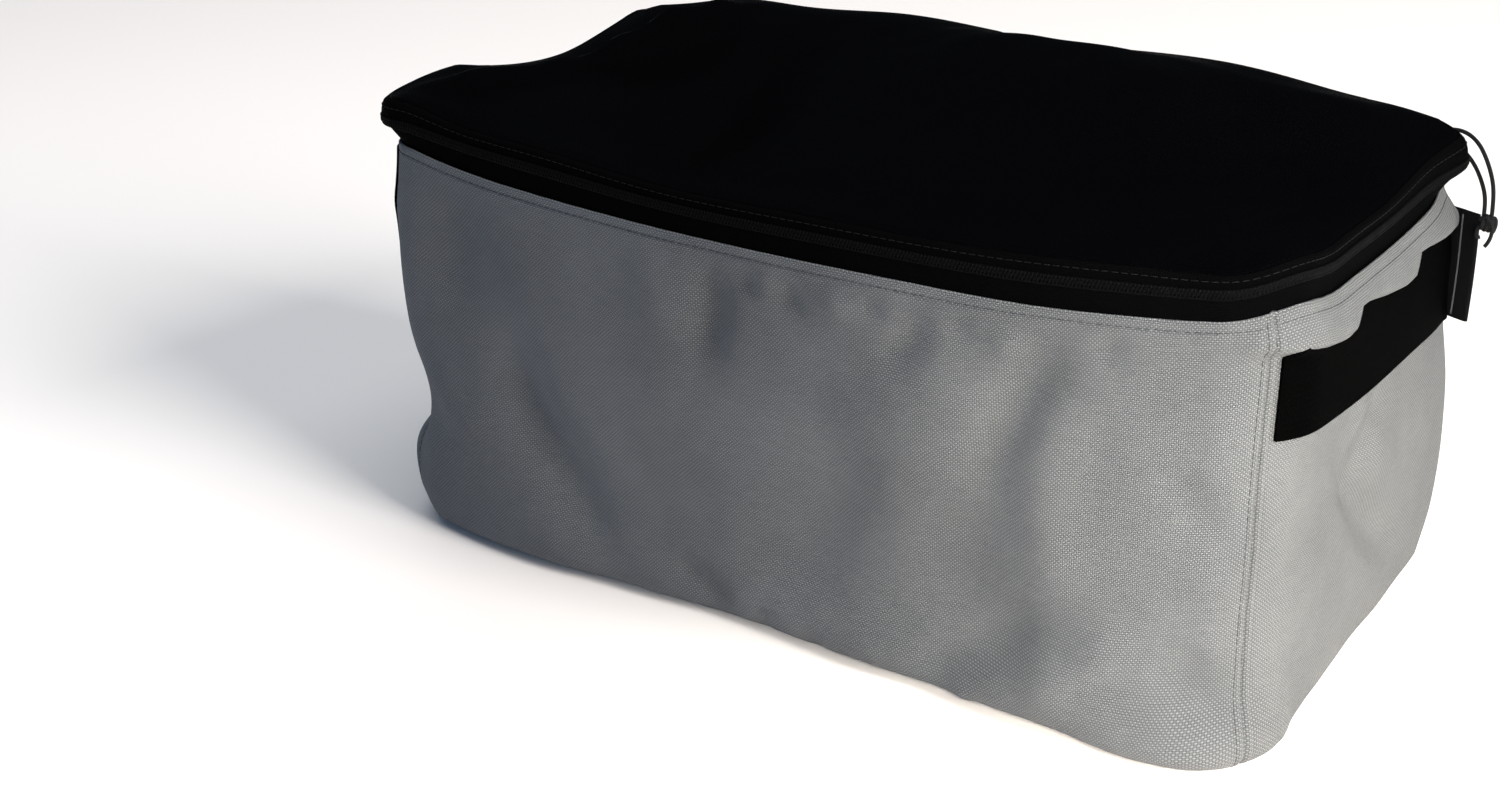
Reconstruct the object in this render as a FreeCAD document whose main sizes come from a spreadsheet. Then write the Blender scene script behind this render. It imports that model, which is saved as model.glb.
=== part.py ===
import FreeCAD, Part
import math
import os

import Sketcher

# Soft box bag with a zip-round lid. Millimetres, +Z up, +X towards the end with the label,
# -Y towards the front. The origin is the centre of the floor's underside.

DRIVING_SIZES = (
    ("body_length", 490),  # grey box, outside
    ("body_width", 240),
    ("rim_height", 212),  # top of the grey fabric
    ("band_height", 24),  # black zip band above the rim
    ("front_round", 33),  # plan radius of the front corners
    ("rear_round", 12),
    ("base_bow", 1),  # how far the front stands out at the floor
    ("rim_bow", 14),  # and at the rim
    ("fabric_thick", 1.6),
    ("binding_thick", 1.2),
    ("binding_height", 8),
    ("corner_binding_bottom", 12),
    ("corner_binding_top", 200),
    ("tape_thick", 0.8),
    ("tape_inset", 2.2),  # zip tape's outer face behind the grey fabric's outer face
    ("tape_overlap", 6),  # zip tape hidden behind the rim
    ("tape_gap", 2.8),  # between the edges of the two tapes
    ("coil_height", 2.2),
    ("coil_depth", 2),
    ("coil_gap", 1.6),  # between the two coils, where the slider's post runs
    ("zip_end", 195),  # where the tapes end on the back, from the middle
    ("stop_length", 3),
    ("lid_inset", 1),
    ("lid_crown", 12.4),  # rise of the lid's top above its edge
    ("crown_run", 80),  # plan distance over which the lid rises
    ("crown_lip", 0.6),
    ("swing_gap", 0.5),  # clearance round the lid's swing
    ("strap_width", 50),
    ("strap_thick", 2),
    ("strap_bottom", 145),
    ("strap_bow", 9),
    ("label_width", 18),
    ("label_height", 56),
    ("label_thick", 1.2),
    ("label_bottom", 143),
    ("label_from_middle", 245.6),
    ("label_back", 116.9),
    ("label_turn", -30),  # degrees from +X
    ("slider_middle", 206),
    ("slider_length", 11),
    ("slider_width", 10),
    ("slider_play", 0.3),
    ("plate_thick", 1.4),
    ("inner_plate_gap", 0.5),
    ("inner_plate_thick", 1.2),
    ("post_length", 5),
    ("post_thick", 0.8),
    ("crown_length", 8.4),
    ("crown_width", 3),
    ("crown_height", 3.4),
    ("crown_bar", 1.2),
    ("crown_leg", 1.4),
    ("link_start", 206.9),
    ("link_length", 12.6),
    ("link_width", 8.4),
    ("link_bar", 1.4),
    ("link_lift", 1),  # between the slider's plate and the link
    ("cord_diameter", 2),
    ("knot_middle_x", 264.2),
    ("knot_middle_y", 101),
    ("knot_middle_z", 195.4),
    ("knot_half_height", 4.6),
    ("knot_half_width", 4.2),
    ("tail_length", 13),
)

# The pull cord's two legs, from the link's far bar to the knot.
UPPER_LEG = (
    (218.8, 123.2, 225.2),
    (229, 126.5, 228.5),
    (240, 127, 231.5),
    (251.5, 119.5, 229),
    (260.5, 111.5, 219),
    (265.5, 105.5, 208.5),
    (266.3, 101.8, 197.5),
)
LOWER_LEG = (
    (218.8, 123.2, 222.8),
    (229, 125.6, 223.4),
    (240, 124.6, 224.4),
    (250.5, 117.5, 219.5),
    (258, 110, 212),
    (262.2, 104.5, 204.5),
    (262.6, 101.6, 197),
)
ARC_SHARE = 0.45  # share of the shorter run that a cord's arc may use
FIRST_TAIL_TILT = 176  # degrees from +Z, about the Y axis
SECOND_TAIL_TILT = 158

LEFT = -1
RIGHT = 1
FRONT = -1
REAR = 1
CLEAR_END = "end"

doc = FreeCAD.newDocument("box_bag")


def make_sheet():
    """The spreadsheet that holds the driving dimensions."""
    made = doc.addObject("Spreadsheet::Sheet", "Sizes")
    for row, (name, value) in enumerate(DRIVING_SIZES, start=1):
        made.set("A%d" % row, name)
        made.set("B%d" % row, str(value))
        made.setAlias("B%d" % row, name)
    doc.recompute()
    return made


sheet = make_sheet()


class Size:
    """A number together with the sheet expression that gives it."""

    def __init__(self, value, text):
        self.value = value
        self.text = text

    def __add__(self, other):
        other = as_size(other)
        return Size(self.value + other.value, "(%s + %s)" % (self.text, other.text))

    def __sub__(self, other):
        other = as_size(other)
        return Size(self.value - other.value, "(%s - %s)" % (self.text, other.text))

    def __mul__(self, other):
        other = as_size(other)
        return Size(self.value * other.value, "(%s * %s)" % (self.text, other.text))

    def __truediv__(self, other):
        other = as_size(other)
        return Size(self.value / other.value, "(%s / %s)" % (self.text, other.text))


def as_size(number):
    """A Size from a plain number, or the Size itself."""
    if isinstance(number, Size):
        return number
    return Size(number, "(%s)" % number)


def size(name):
    """The sheet's value of that name."""
    return Size(float(sheet.get(name)), "Sizes." + name)


def vector(point):
    """A sketch point, given as two Sizes, as a FreeCAD vector."""
    return FreeCAD.Vector(point[0].value, point[1].value, 0)


FABRIC = size("fabric_thick")
TAPE_INNER = size("tape_inset") + size("tape_thick")
ZIP_LINE = size("rim_height") + size("band_height") / 2
LID_LEVEL = size("rim_height") + size("band_height") - FABRIC


class Plan:
    """The bag's outline seen from above: two front corners, two rear corners and a bowed front."""

    def __init__(self, shrink=0, bow=None):
        self.half_length = size("body_length") / 2 - shrink
        self.half_width = size("body_width") / 2 - shrink
        self.rounds = {FRONT: size("front_round"), REAR: size("rear_round")}
        self.bow = size("rim_bow") if bow is None else bow

    def corner(self, side, end, degrees, inset):
        """A point on a corner's arc, 0 degrees at the side and 90 at the front or rear."""
        radius = self.rounds[end] - inset
        along = radius * round(math.cos(math.radians(degrees)), 9)
        across = radius * round(math.sin(math.radians(degrees)), 9)
        return (
            (self.half_length - self.rounds[end] + along) * side,
            (self.half_width - self.rounds[end] + across) * end,
        )

    def station(self, place, inset):
        """The point that a station names, at that inset."""
        if place[0] == CLEAR_END:
            return (place[2] * place[1], self.half_width - inset)
        return self.corner(*place, inset)

    def step(self, start, finish, inset, side_bow):
        """The way from one station to the next: a line, a corner's arc or a bowed arc."""
        goal = self.station(finish, inset)
        if CLEAR_END in (start[0], finish[0]):
            return (goal, None, None)
        if start[:2] == finish[:2]:
            middle = self.corner(start[0], start[1], (start[2] + finish[2]) / 2, inset)
            return (goal, middle, self.rounds[start[1]] - inset)
        if start[1] == FRONT and finish[1] == FRONT:
            half_chord = self.half_length - self.rounds[FRONT]
            middle = (as_size(0), (self.half_width + self.bow - inset) * FRONT)
            return (goal, middle, bow_radius(half_chord, self.bow))
        if start[0] == finish[0] and side_bow is not None:
            half_chord = (self.half_width * 2 - self.rounds[FRONT] - self.rounds[REAR]) / 2
            middle = (
                (self.half_length - inset + side_bow) * start[0],
                (self.rounds[FRONT] - self.rounds[REAR]) / 2,
            )
            return (goal, middle, bow_radius(half_chord, side_bow))
        return (goal, None, None)

    def strip(self, stations, inset, thick, side_bow=None):
        """A closed band of that thickness that follows the stations."""
        back = list(reversed(stations))
        inner = inset + thick
        steps = [self.step(a, b, inset, side_bow) for a, b in zip(stations, stations[1:])]
        steps.append((self.station(back[0], inner), None, None))
        steps += [self.step(a, b, inner, side_bow) for a, b in zip(back, back[1:])]
        steps.append((self.station(stations[0], inset), None, None))
        return steps

    def ring(self, inset):
        """The whole outline at that inset."""
        stations = WHOLE + WHOLE[:1]
        return [self.step(a, b, inset, None) for a, b in zip(stations, stations[1:])]


def bow_radius(half_chord, bow):
    """The radius of an arc that rises by bow over half its chord."""
    return (half_chord * half_chord + bow * bow) / (bow * 2)


def around(side, end, *angles):
    """Stations on one corner."""
    return [(side, end, angle) for angle in angles]


WHOLE = (
    around(LEFT, REAR, 90, 0)
    + around(LEFT, FRONT, 0, 90)
    + around(RIGHT, FRONT, 90, 0)
    + around(RIGHT, REAR, 0, 90)
)
FRONT_WALL = around(LEFT, FRONT, 45, 90) + around(RIGHT, FRONT, 90, 45)
BACK_WALL = around(RIGHT, REAR, 45, 90) + around(LEFT, REAR, 90, 45)


def end_wall(side):
    """Stations of an end panel, from one corner seam to the other."""
    return around(side, FRONT, 45, 0) + around(side, REAR, 0, 45)


def zip_run(clear):
    """Stations of the zip, round three sides and a short way along the back."""
    start = size("zip_end") + clear
    return [(CLEAR_END, LEFT, start)] + WHOLE + [(CLEAR_END, RIGHT, start)]


def plane_of(body, role):
    """A body's own origin plane."""
    return next(plane for plane in body.Origin.OriginFeatures if plane.Role == role)


def tie(sketch, kind, index, place, wanted):
    """One dimension of a sketch, bound to the sheet."""
    if kind == "Radius":
        number = sketch.addConstraint(Sketcher.Constraint(kind, index, wanted.value))
    else:
        number = sketch.addConstraint(Sketcher.Constraint(kind, index, place, wanted.value))
    sketch.setExpression("Constraints[%d]" % number, wanted.text)


def draw(sketch, steps):
    """Draws a closed outline and ties its corners and radii to the sheet."""
    here = steps[-1][0]
    ends = []
    for goal, middle, radius in steps:
        if middle is None:
            edge = Part.LineSegment(vector(here), vector(goal))
        else:
            edge = Part.Arc(vector(here), vector(middle), vector(goal))
        index = sketch.addGeometry(edge, False)
        first = 1 if (sketch.getPoint(index, 1) - vector(here)).Length < 1e-6 else 2
        ends.append((index, first, 3 - first))
        if radius is not None:
            tie(sketch, "Radius", index, None, radius)
        tie(sketch, "DistanceX", index, 3 - first, goal[0])
        tie(sketch, "DistanceY", index, 3 - first, goal[1])
        here = goal
    for before, after in zip(ends[-1:] + ends[:-1], ends):
        joined = Sketcher.Constraint("Coincident", before[0], before[2], after[0], after[1])
        sketch.addConstraint(joined)


def new_body(label, level=None):
    """An empty body, lifted to its level."""
    body = doc.addObject("PartDesign::Body", label)
    body.Label = label
    if level is not None:
        body.setExpression("Placement.Base.z", level.text)
    return body


def sketch_on(body, name, outlines, lift=None):
    """A sketch of closed outlines on the body's ground plane, or lifted above it."""
    sketch = body.newObject("Sketcher::SketchObject", body.Name + "_" + name)
    sketch.AttachmentSupport = [(plane_of(body, "XY_Plane"), "")]
    sketch.MapMode = "FlatFace"
    for steps in outlines:
        draw(sketch, steps)
    if lift is not None:
        sketch.setExpression("AttachmentOffset.Base.z", lift.text)
    return sketch


def pad(body, outlines, height):
    """Pads closed outlines upwards."""
    feature = body.newObject("PartDesign::Pad", body.Name + "_pad")
    feature.Profile = sketch_on(body, "outline", outlines)
    feature.setExpression("Length", height.text)
    return feature


def padded_part(label, outlines, height, level):
    """A sub-part that is one pad."""
    body = new_body(label, level)
    pad(body, outlines, height)
    return body


def loft(body, kind, name, low, high, low_lift, high_lift):
    """A loft between two outlines at two heights."""
    feature = body.newObject("PartDesign::" + kind, body.Name + "_" + name)
    feature.Profile = sketch_on(body, name + "_low", [low], low_lift)
    feature.Sections = [sketch_on(body, name + "_high", [high], high_lift)]
    feature.Ruled = True
    return feature


def make_front_panel():
    """The front leans out towards the rim, so it is a loft between two plans."""
    body = new_body("front_panel")
    low = Plan(bow=size("base_bow")).strip(FRONT_WALL, as_size(0), FABRIC)
    high = Plan().strip(FRONT_WALL, as_size(0), FABRIC)
    loft(body, "AdditiveLoft", "wall", low, high, None, size("rim_height"))
    return body


def make_walls():
    """The grey panels and the floor."""
    plan = Plan()
    height = size("rim_height")
    walls = (
        ("back_panel", BACK_WALL),
        ("left_end_panel", end_wall(LEFT)),
        ("right_end_panel", end_wall(RIGHT)),
    )
    made = [make_front_panel()]
    for label, stations in walls:
        outline = plan.strip(stations, as_size(0), FABRIC)
        made.append(padded_part(label, [outline], height, as_size(0)))
    floor = Plan(bow=size("base_bow")).ring(FABRIC)
    made.append(padded_part("base_panel", [floor], FABRIC, as_size(0)))
    return made


def make_bindings():
    """Tape over the seams, inside: one up each corner and one round the floor."""
    corners = (
        ("front_left", LEFT, FRONT),
        ("front_right", RIGHT, FRONT),
        ("rear_left", LEFT, REAR),
        ("rear_right", RIGHT, REAR),
    )
    thick = size("binding_thick")
    bottom = size("corner_binding_bottom")
    height = size("corner_binding_top") - bottom
    made = []
    for name, side, end in corners:
        outline = Plan().strip(around(side, end, 20, 70), FABRIC, thick)
        made.append(padded_part(name + "_seam_binding", [outline], height, bottom))
    plan = Plan(bow=size("base_bow"))
    rings = [plan.ring(FABRIC + size("slider_play")), plan.ring(FABRIC + thick)]
    made.append(padded_part("base_seam_binding", rings, size("binding_height"), FABRIC))
    return made


def make_zip_half(name, tape_level, tape_height, coil_level):
    """One tape of the zip and the coil along its edge."""
    tape = Plan().strip(zip_run(0), size("tape_inset"), size("tape_thick"))
    coil_inset = size("tape_inset") - size("coil_depth")
    coil = Plan().strip(zip_run(size("stop_length")), coil_inset, size("coil_depth"))
    return [
        padded_part(name + "_zip_tape", [tape], tape_height, tape_level),
        padded_part(name + "_zip_coil", [coil], size("coil_height"), coil_level),
    ]


def make_zip():
    """Both halves of the zip. The closed chain's middle runs at the zip line."""
    lower_bottom = size("rim_height") - size("tape_overlap")
    lower_top = ZIP_LINE - size("tape_gap") / 2
    upper_bottom = ZIP_LINE + size("tape_gap") / 2
    lower_coil = ZIP_LINE - size("coil_gap") / 2 - size("coil_height")
    upper_coil = ZIP_LINE + size("coil_gap") / 2
    lower = make_zip_half("lower", lower_bottom, lower_top - lower_bottom, lower_coil)
    upper = make_zip_half("upper", upper_bottom, LID_LEVEL - upper_bottom, upper_coil)
    return lower + upper


def make_hinge_gusset():
    """The strip along the back, between the ends of the zip, that the lid hangs on."""
    reach = size("zip_end") - size("swing_gap")
    stations = [(CLEAR_END, RIGHT, reach), (CLEAR_END, LEFT, reach)]
    outline = Plan().strip(stations, size("tape_inset"), FABRIC)
    bottom = size("rim_height") - size("tape_overlap")
    height = LID_LEVEL - size("swing_gap") - bottom
    return [padded_part("hinge_gusset", [outline], height, bottom)]


def make_block(name, corner, lengths):
    """A box whose corner and lengths are bound to the sheet."""
    block = doc.addObject("Part::Box", name)
    for side, wanted in zip(("Length", "Width", "Height"), lengths):
        block.setExpression(side, as_size(wanted).text)
    for axis, wanted in zip("xyz", corner):
        block.setExpression("Placement.Base." + axis, as_size(wanted).text)
    return block


def make_zip_stops():
    """A clip at each end of the lower coil."""
    made = []
    level = ZIP_LINE - size("coil_gap") / 2 - size("coil_height")
    back = size("body_width") / 2 - size("tape_inset")
    length = size("stop_length") - size("swing_gap")
    lengths = (length, size("coil_depth"), size("coil_height"))
    for name, side in (("left", LEFT), ("right", RIGHT)):
        start = size("zip_end") if side == RIGHT else (size("zip_end") + length) * LEFT
        stop = make_block("zip_end_stop_" + name, (start, back, level), lengths)
        stop.Label = "zip_end_stop_" + name
        made.append(stop)
    return made


def make_handles():
    """Webbing sewn flat into both seams of an end panel, standing off it in the middle."""
    made = []
    for name, side in (("left_handle", LEFT), ("right_handle", RIGHT)):
        thick = size("strap_thick")
        outline = Plan().strip(end_wall(side), thick * -1, thick, size("strap_bow"))
        made.append(padded_part(name, [outline], size("strap_width"), size("strap_bottom")))
    return made


def make_lid_panel():
    """The lid: a flat edge that rises to a low crown, hollow underneath."""
    body = new_body("lid_panel", LID_LEVEL)
    edge = size("lid_inset")
    inner = edge + size("crown_lip")
    crown = Plan(shrink=size("crown_run"))
    pad(body, [Plan().ring(edge)], FABRIC)
    top = FABRIC + size("lid_crown")
    loft(body, "AdditiveLoft", "crown", Plan().ring(edge), crown.ring(edge), FABRIC, top)
    under = size("lid_crown")
    loft(body, "SubtractiveLoft", "hollow", Plan().ring(inner), crown.ring(inner), None, under)
    return [body]


def make_lid_binding():
    """Tape inside the lid's seam, on three sides."""
    stations = WHOLE[1:-1]
    thick = size("binding_thick")
    outline = Plan().strip(stations, TAPE_INNER, thick)
    height = size("binding_height")
    return [padded_part("lid_seam_binding", [outline], height, LID_LEVEL - height)]


def make_label():
    """A blank folded tape, sewn by one edge into the rear right seam."""
    body = new_body("side_label", size("label_bottom"))
    width = size("label_width")
    half = size("label_thick") / 2
    zero = as_size(0)
    steps = [
        ((width, half * -1), None, None),
        ((width, half), None, None),
        ((zero, half), None, None),
        ((zero, half * -1), None, None),
    ]
    pad(body, [steps], size("label_height"))
    body.setExpression("Placement.Base.x", size("label_from_middle").text)
    body.setExpression("Placement.Base.y", size("label_back").text)
    body.Placement.Rotation = FreeCAD.Rotation(FreeCAD.Vector(0, 0, 1), 1)
    body.setExpression("Placement.Rotation.Angle", size("label_turn").text)
    return [body]


def fuse(label, pieces):
    """One solid from several that touch or overlap."""
    joined = doc.addObject("Part::MultiFuse", label)
    joined.Label = label
    joined.Shapes = pieces
    joined.Refine = True
    return joined


def make_slider():
    """The slider: outer plate with its crown, a post between the coils and half an inner plate."""
    start = size("slider_middle") - size("slider_length") / 2
    coil_face = size("body_width") / 2 - size("tape_inset") + size("coil_depth")
    plate_back = coil_face + size("slider_play")
    plate_face = plate_back + size("plate_thick")
    plate_bottom = ZIP_LINE - size("slider_width") / 2
    tape_back = size("body_width") / 2 - TAPE_INNER
    inner_face = tape_back - size("inner_plate_gap")
    inner_back = inner_face - size("inner_plate_thick")
    post_bottom = ZIP_LINE - size("post_thick") / 2
    post_top = post_bottom + size("post_thick")
    crown_start = size("slider_middle") - size("crown_length") / 2 + size("slider_play")
    crown_bottom = ZIP_LINE - size("crown_width") / 2
    crown_end = crown_start + size("crown_length") - size("crown_leg")
    leg = (size("crown_leg"), size("crown_height"), size("crown_width"))
    blocks = (
        (
            "outer_plate",
            (start, plate_back, plate_bottom),
            (size("slider_length"), size("plate_thick"), size("slider_width")),
        ),
        (
            "post",
            (start, inner_back, post_bottom),
            (size("post_length"), plate_back - inner_back, size("post_thick")),
        ),
        (
            "inner_plate",
            (start, inner_back, plate_bottom),
            (size("slider_length"), size("inner_plate_thick"), post_top - plate_bottom),
        ),
        ("crown_near_leg", (crown_start, plate_face, crown_bottom), leg),
        ("crown_far_leg", (crown_end, plate_face, crown_bottom), leg),
        (
            "crown_top",
            (crown_start, plate_face + size("crown_height"), crown_bottom),
            (size("crown_length"), size("crown_bar"), size("crown_width")),
        ),
    )
    return [fuse("slider_body", [make_block("slider_" + name, a, b) for name, a, b in blocks])]


def make_pull_link():
    """A wire link. One end bar lies under the slider's crown and the cord goes round the other."""
    bar = size("link_bar")
    plate_face = (
        size("body_width") / 2
        - size("tape_inset")
        + size("coil_depth")
        + size("slider_play")
        + size("plate_thick")
    )
    back = plate_face + size("link_lift")
    bottom = ZIP_LINE - size("link_width") / 2
    outer = make_block(
        "link_outer",
        (size("link_start"), back, bottom),
        (size("link_length"), bar, size("link_width")),
    )
    window = make_block(
        "link_window",
        (size("link_start") + bar, back - bar, bottom + bar),
        (size("link_length") - bar * 2, bar * 3, size("link_width") - bar * 2),
    )
    link = doc.addObject("Part::Cut", "pull_link")
    link.Label = "pull_link"
    link.Base = outer
    link.Tool = window
    return [link]


def cord_path(label, points):
    """Straight runs joined by tangent arcs, each as large as its two runs allow."""
    points = [FreeCAD.Vector(*point) for point in points]
    here = points[0]
    edges = []
    radii = []
    for before, corner, after in zip(points, points[1:], points[2:]):
        inward = (before - corner).normalize()
        outward = (after - corner).normalize()
        half_turn = (math.pi - inward.getAngle(outward)) / 2
        shorter = min((corner - before).Length, (after - corner).Length)
        back_off = ARC_SHARE * shorter
        radius = back_off / math.tan(half_turn)
        start = corner + inward * back_off
        finish = corner + outward * back_off
        towards_centre = (inward + outward).normalize()
        sagitta = radius / math.cos(half_turn) - radius
        edges.append(Part.LineSegment(here, start).toShape())
        edges.append(Part.Arc(start, corner + towards_centre * sagitta, finish).toShape())
        radii.append(round(radius, 1))
        here = finish
    edges.append(Part.LineSegment(here, points[-1]).toShape())
    print(label, "radii", radii)
    return Part.Wire(edges)


def make_cord(label, points):
    """A round cord along its route."""
    radius = float(sheet.get("cord_diameter")) / 2
    path = cord_path(label, points)
    heading = FreeCAD.Vector(*points[1]) - FreeCAD.Vector(*points[0])
    section = Part.Wire([Part.makeCircle(radius, FreeCAD.Vector(*points[0]), heading)])
    cord = doc.addObject("Part::Feature", label)
    cord.Label = label
    cord.Shape = path.makePipeShell([section], True, False)
    expected = math.pi * radius * radius * path.Length
    print(label, "length", round(path.Length, 1), "volume share", cord.Shape.Volume / expected)
    return cord


def make_knot():
    """The knot that holds both legs, with its two short tails."""
    middle = [size("knot_middle_" + axis) for axis in "xyz"]
    ball = doc.addObject("Part::Ellipsoid", "knot_ball")
    ball.setExpression("Radius1", size("knot_half_height").text)
    ball.setExpression("Radius2", size("knot_half_width").text)
    ball.setExpression("Radius3", size("knot_half_width").text)
    pieces = [ball]
    for name, tilt in (("first", FIRST_TAIL_TILT), ("second", SECOND_TAIL_TILT)):
        tail = doc.addObject("Part::Cylinder", "knot_tail_" + name)
        tail.setExpression("Radius", (size("cord_diameter") / 2).text)
        tail.setExpression("Height", size("tail_length").text)
        tail.Placement.Rotation = FreeCAD.Rotation(FreeCAD.Vector(0, 1, 0), tilt)
        pieces.append(tail)
    for piece in pieces:
        for axis, wanted in zip("xyz", middle):
            piece.setExpression("Placement.Base." + axis, wanted.text)
    return fuse("pull_cord_knot", pieces)


def make_pull_cord():
    """The cord loop on the link."""
    return [
        make_cord("pull_cord_upper", UPPER_LEG),
        make_cord("pull_cord_lower", LOWER_LEG),
        make_knot(),
    ]


def check(parts):
    """Stops if any object failed or any sub-part has no sound shape."""
    for thing in doc.Objects:
        if "Invalid" in thing.State or "Error" in thing.State:
            raise RuntimeError("%s failed: %s" % (thing.Name, thing.State))
    for part in parts:
        if part.Shape.isNull() or not part.Shape.isValid() or not part.Shape.Solids:
            raise RuntimeError("%s has no sound solid" % part.Label)


def report(parts):
    """Prints each sub-part's solids, volume and box."""
    for part in parts:
        box = part.Shape.BoundBox
        low = [round(x, 1) for x in (box.XMin, box.YMin, box.ZMin)]
        high = [round(x, 1) for x in (box.XMax, box.YMax, box.ZMax)]
        print(part.Label, len(part.Shape.Solids), round(part.Shape.Volume), low, high)


def main():
    """Builds every sub-part and writes it."""
    parts = make_walls() + make_bindings() + make_zip() + make_hinge_gusset()
    parts += make_zip_stops() + make_handles() + make_lid_panel() + make_lid_binding()
    parts += make_label() + make_slider() + make_pull_link() + make_pull_cord()
    doc.recompute()
    check(parts)
    report(parts)
    os.makedirs("parts", exist_ok=True)
    for part in parts:
        part.Shape.exportStep(os.path.join("parts", part.Label + ".step"))


main()
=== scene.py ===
import math

import bmesh
import bpy
import numpy as np
from mathutils import Matrix, Vector
from mathutils.geometry import delaunay_2d_cdt


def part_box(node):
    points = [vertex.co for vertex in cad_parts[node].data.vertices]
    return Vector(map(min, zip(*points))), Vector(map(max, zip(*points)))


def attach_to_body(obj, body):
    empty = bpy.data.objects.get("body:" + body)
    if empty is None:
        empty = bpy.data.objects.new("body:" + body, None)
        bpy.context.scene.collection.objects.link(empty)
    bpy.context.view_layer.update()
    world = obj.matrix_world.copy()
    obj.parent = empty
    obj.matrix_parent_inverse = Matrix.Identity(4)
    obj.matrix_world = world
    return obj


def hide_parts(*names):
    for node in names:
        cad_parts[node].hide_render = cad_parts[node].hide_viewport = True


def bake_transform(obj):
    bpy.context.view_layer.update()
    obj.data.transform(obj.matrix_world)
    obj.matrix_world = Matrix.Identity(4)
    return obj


# A soft fabric box bag with a zip-round lid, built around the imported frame. Metres, +Z up,
# -Y to the front. Shape notes in millimetres are turned into metres by MM.

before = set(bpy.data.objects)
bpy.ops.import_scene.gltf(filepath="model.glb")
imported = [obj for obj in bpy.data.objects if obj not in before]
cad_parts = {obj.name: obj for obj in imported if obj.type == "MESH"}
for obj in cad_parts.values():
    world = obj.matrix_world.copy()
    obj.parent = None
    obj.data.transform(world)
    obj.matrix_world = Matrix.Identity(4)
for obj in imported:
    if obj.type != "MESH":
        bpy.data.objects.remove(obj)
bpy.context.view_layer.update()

MM = 0.001
TAU = 2 * math.pi

# ---- sizes -----------------------------------------------------------------------------

FABRIC = 1.6 * MM
FRONT_ROUND = 33 * MM
REAR_ROUND = 12 * MM
FLOOR_ROUND = 12 * MM
FLOOR_BOW = 1 * MM  # how far the front bows out at the floor
CORD = 2 * MM

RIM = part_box("back_panel")[1].z
HALF_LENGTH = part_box("right_end_panel")[1].x
HALF_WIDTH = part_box("back_panel")[1].y
BAND_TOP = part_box("upper_zip_tape")[1].z + FABRIC
BAND = BAND_TOP - RIM
RIM_BOW = -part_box("lid_panel")[0].y - HALF_WIDTH + FLOOR_BOW
ZIP_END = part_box("zip_end_stop_right")[0].x
STRAP_LOW, STRAP_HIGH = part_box("right_handle")
LABEL_LOW, LABEL_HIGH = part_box("side_label")
KNOT_LOW, KNOT_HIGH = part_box("pull_cord_knot")


# ---- curves that the shapes share ------------------------------------------------------

def unit(x):
    """A value held between 0 and 1."""
    return np.clip(x, 0, 1)


def ease(x):
    """A value held between 0 and 1, with a smooth start and finish."""
    x = unit(x)
    return x * x * (3 - 2 * x)


def arch(x, power=2):
    """1 at 0, falling to 0 at -1 and 1."""
    return unit(1 - np.abs(x) ** power)


def hill(u, middle, reach, height):
    """A soft rise along a line."""
    return height * np.exp(-(((u - middle) / reach) ** 2))


def lengths_along(points):
    """Distance along a line of points, from its first."""
    steps = np.linalg.norm(np.diff(points, axis=0), axis=1)
    return np.concatenate([[0], np.cumsum(steps)])


# ---- the plan outline ------------------------------------------------------------------

REAR_ARC_POINTS = 25
FRONT_ARC_POINTS = 33
SIDE_POINTS = 120
FRONT_POINTS = 240


def corner_points(side, end, first, last):
    """Points on one corner's arc, from first to last degrees, 0 at the side and 90 at the end."""
    radius = FRONT_ROUND if end < 0 else REAR_ROUND
    angles = np.radians(np.linspace(first, last, FRONT_ARC_POINTS if end < 0 else REAR_ARC_POINTS))
    x = side * (HALF_LENGTH - radius + radius * np.cos(angles))
    y = end * (HALF_WIDTH - radius + radius * np.sin(angles))
    return np.stack([x, y], 1)


def straight_points(start, finish, count=SIDE_POINTS, bow=0.0):
    """Points on a straight side, bowed outwards towards -Y if asked."""
    t = np.linspace(0, 1, count)[1:-1, None]
    points = start + (finish - start) * t
    points[:, 1] -= bow * (1 - (2 * t[:, 0] - 1) ** 2)
    return points


def outline(bow):
    """The plan outline from the middle of the back, by the left end and front, to the back again."""
    rear_left = corner_points(-1, 1, 90, 0)
    front_left = corner_points(-1, -1, 0, 90)
    front_right = corner_points(1, -1, 90, 0)
    rear_right = corner_points(1, 1, 0, 90)
    back_middle = np.array([0.0, HALF_WIDTH])
    pieces = [
        back_middle[None],
        straight_points(back_middle, rear_left[0]),
        rear_left,
        straight_points(rear_left[-1], front_left[0]),
        front_left,
        straight_points(front_left[-1], front_right[0], FRONT_POINTS, bow),
        front_right,
        straight_points(front_right[-1], rear_right[0]),
        rear_right,
        straight_points(rear_right[-1], back_middle),
        back_middle[None],
    ]
    return np.concatenate(pieces)


def outward_normals(points):
    """Outward unit normals of the plan outline."""
    tangent = np.gradient(points, axis=0)
    tangent[0] = tangent[-1] = (-1, 0)
    normal = np.stack([tangent[:, 1], -tangent[:, 0]], 1)
    return normal / np.linalg.norm(normal, axis=1, keepdims=True)


FLOOR_PLAN = outline(FLOOR_BOW)
RIM_PLAN = outline(RIM_BOW)
PLAN_LENGTHS = lengths_along(RIM_PLAN)
FLOOR_NORMALS = outward_normals(FLOOR_PLAN)
RIM_NORMALS = outward_normals(RIM_PLAN)
AROUND = PLAN_LENGTHS[-1]


def length_at(test):
    """How far round the outline the first point is that passes the test."""
    return PLAN_LENGTHS[next(i for i, p in enumerate(RIM_PLAN) if test(p))]


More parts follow.
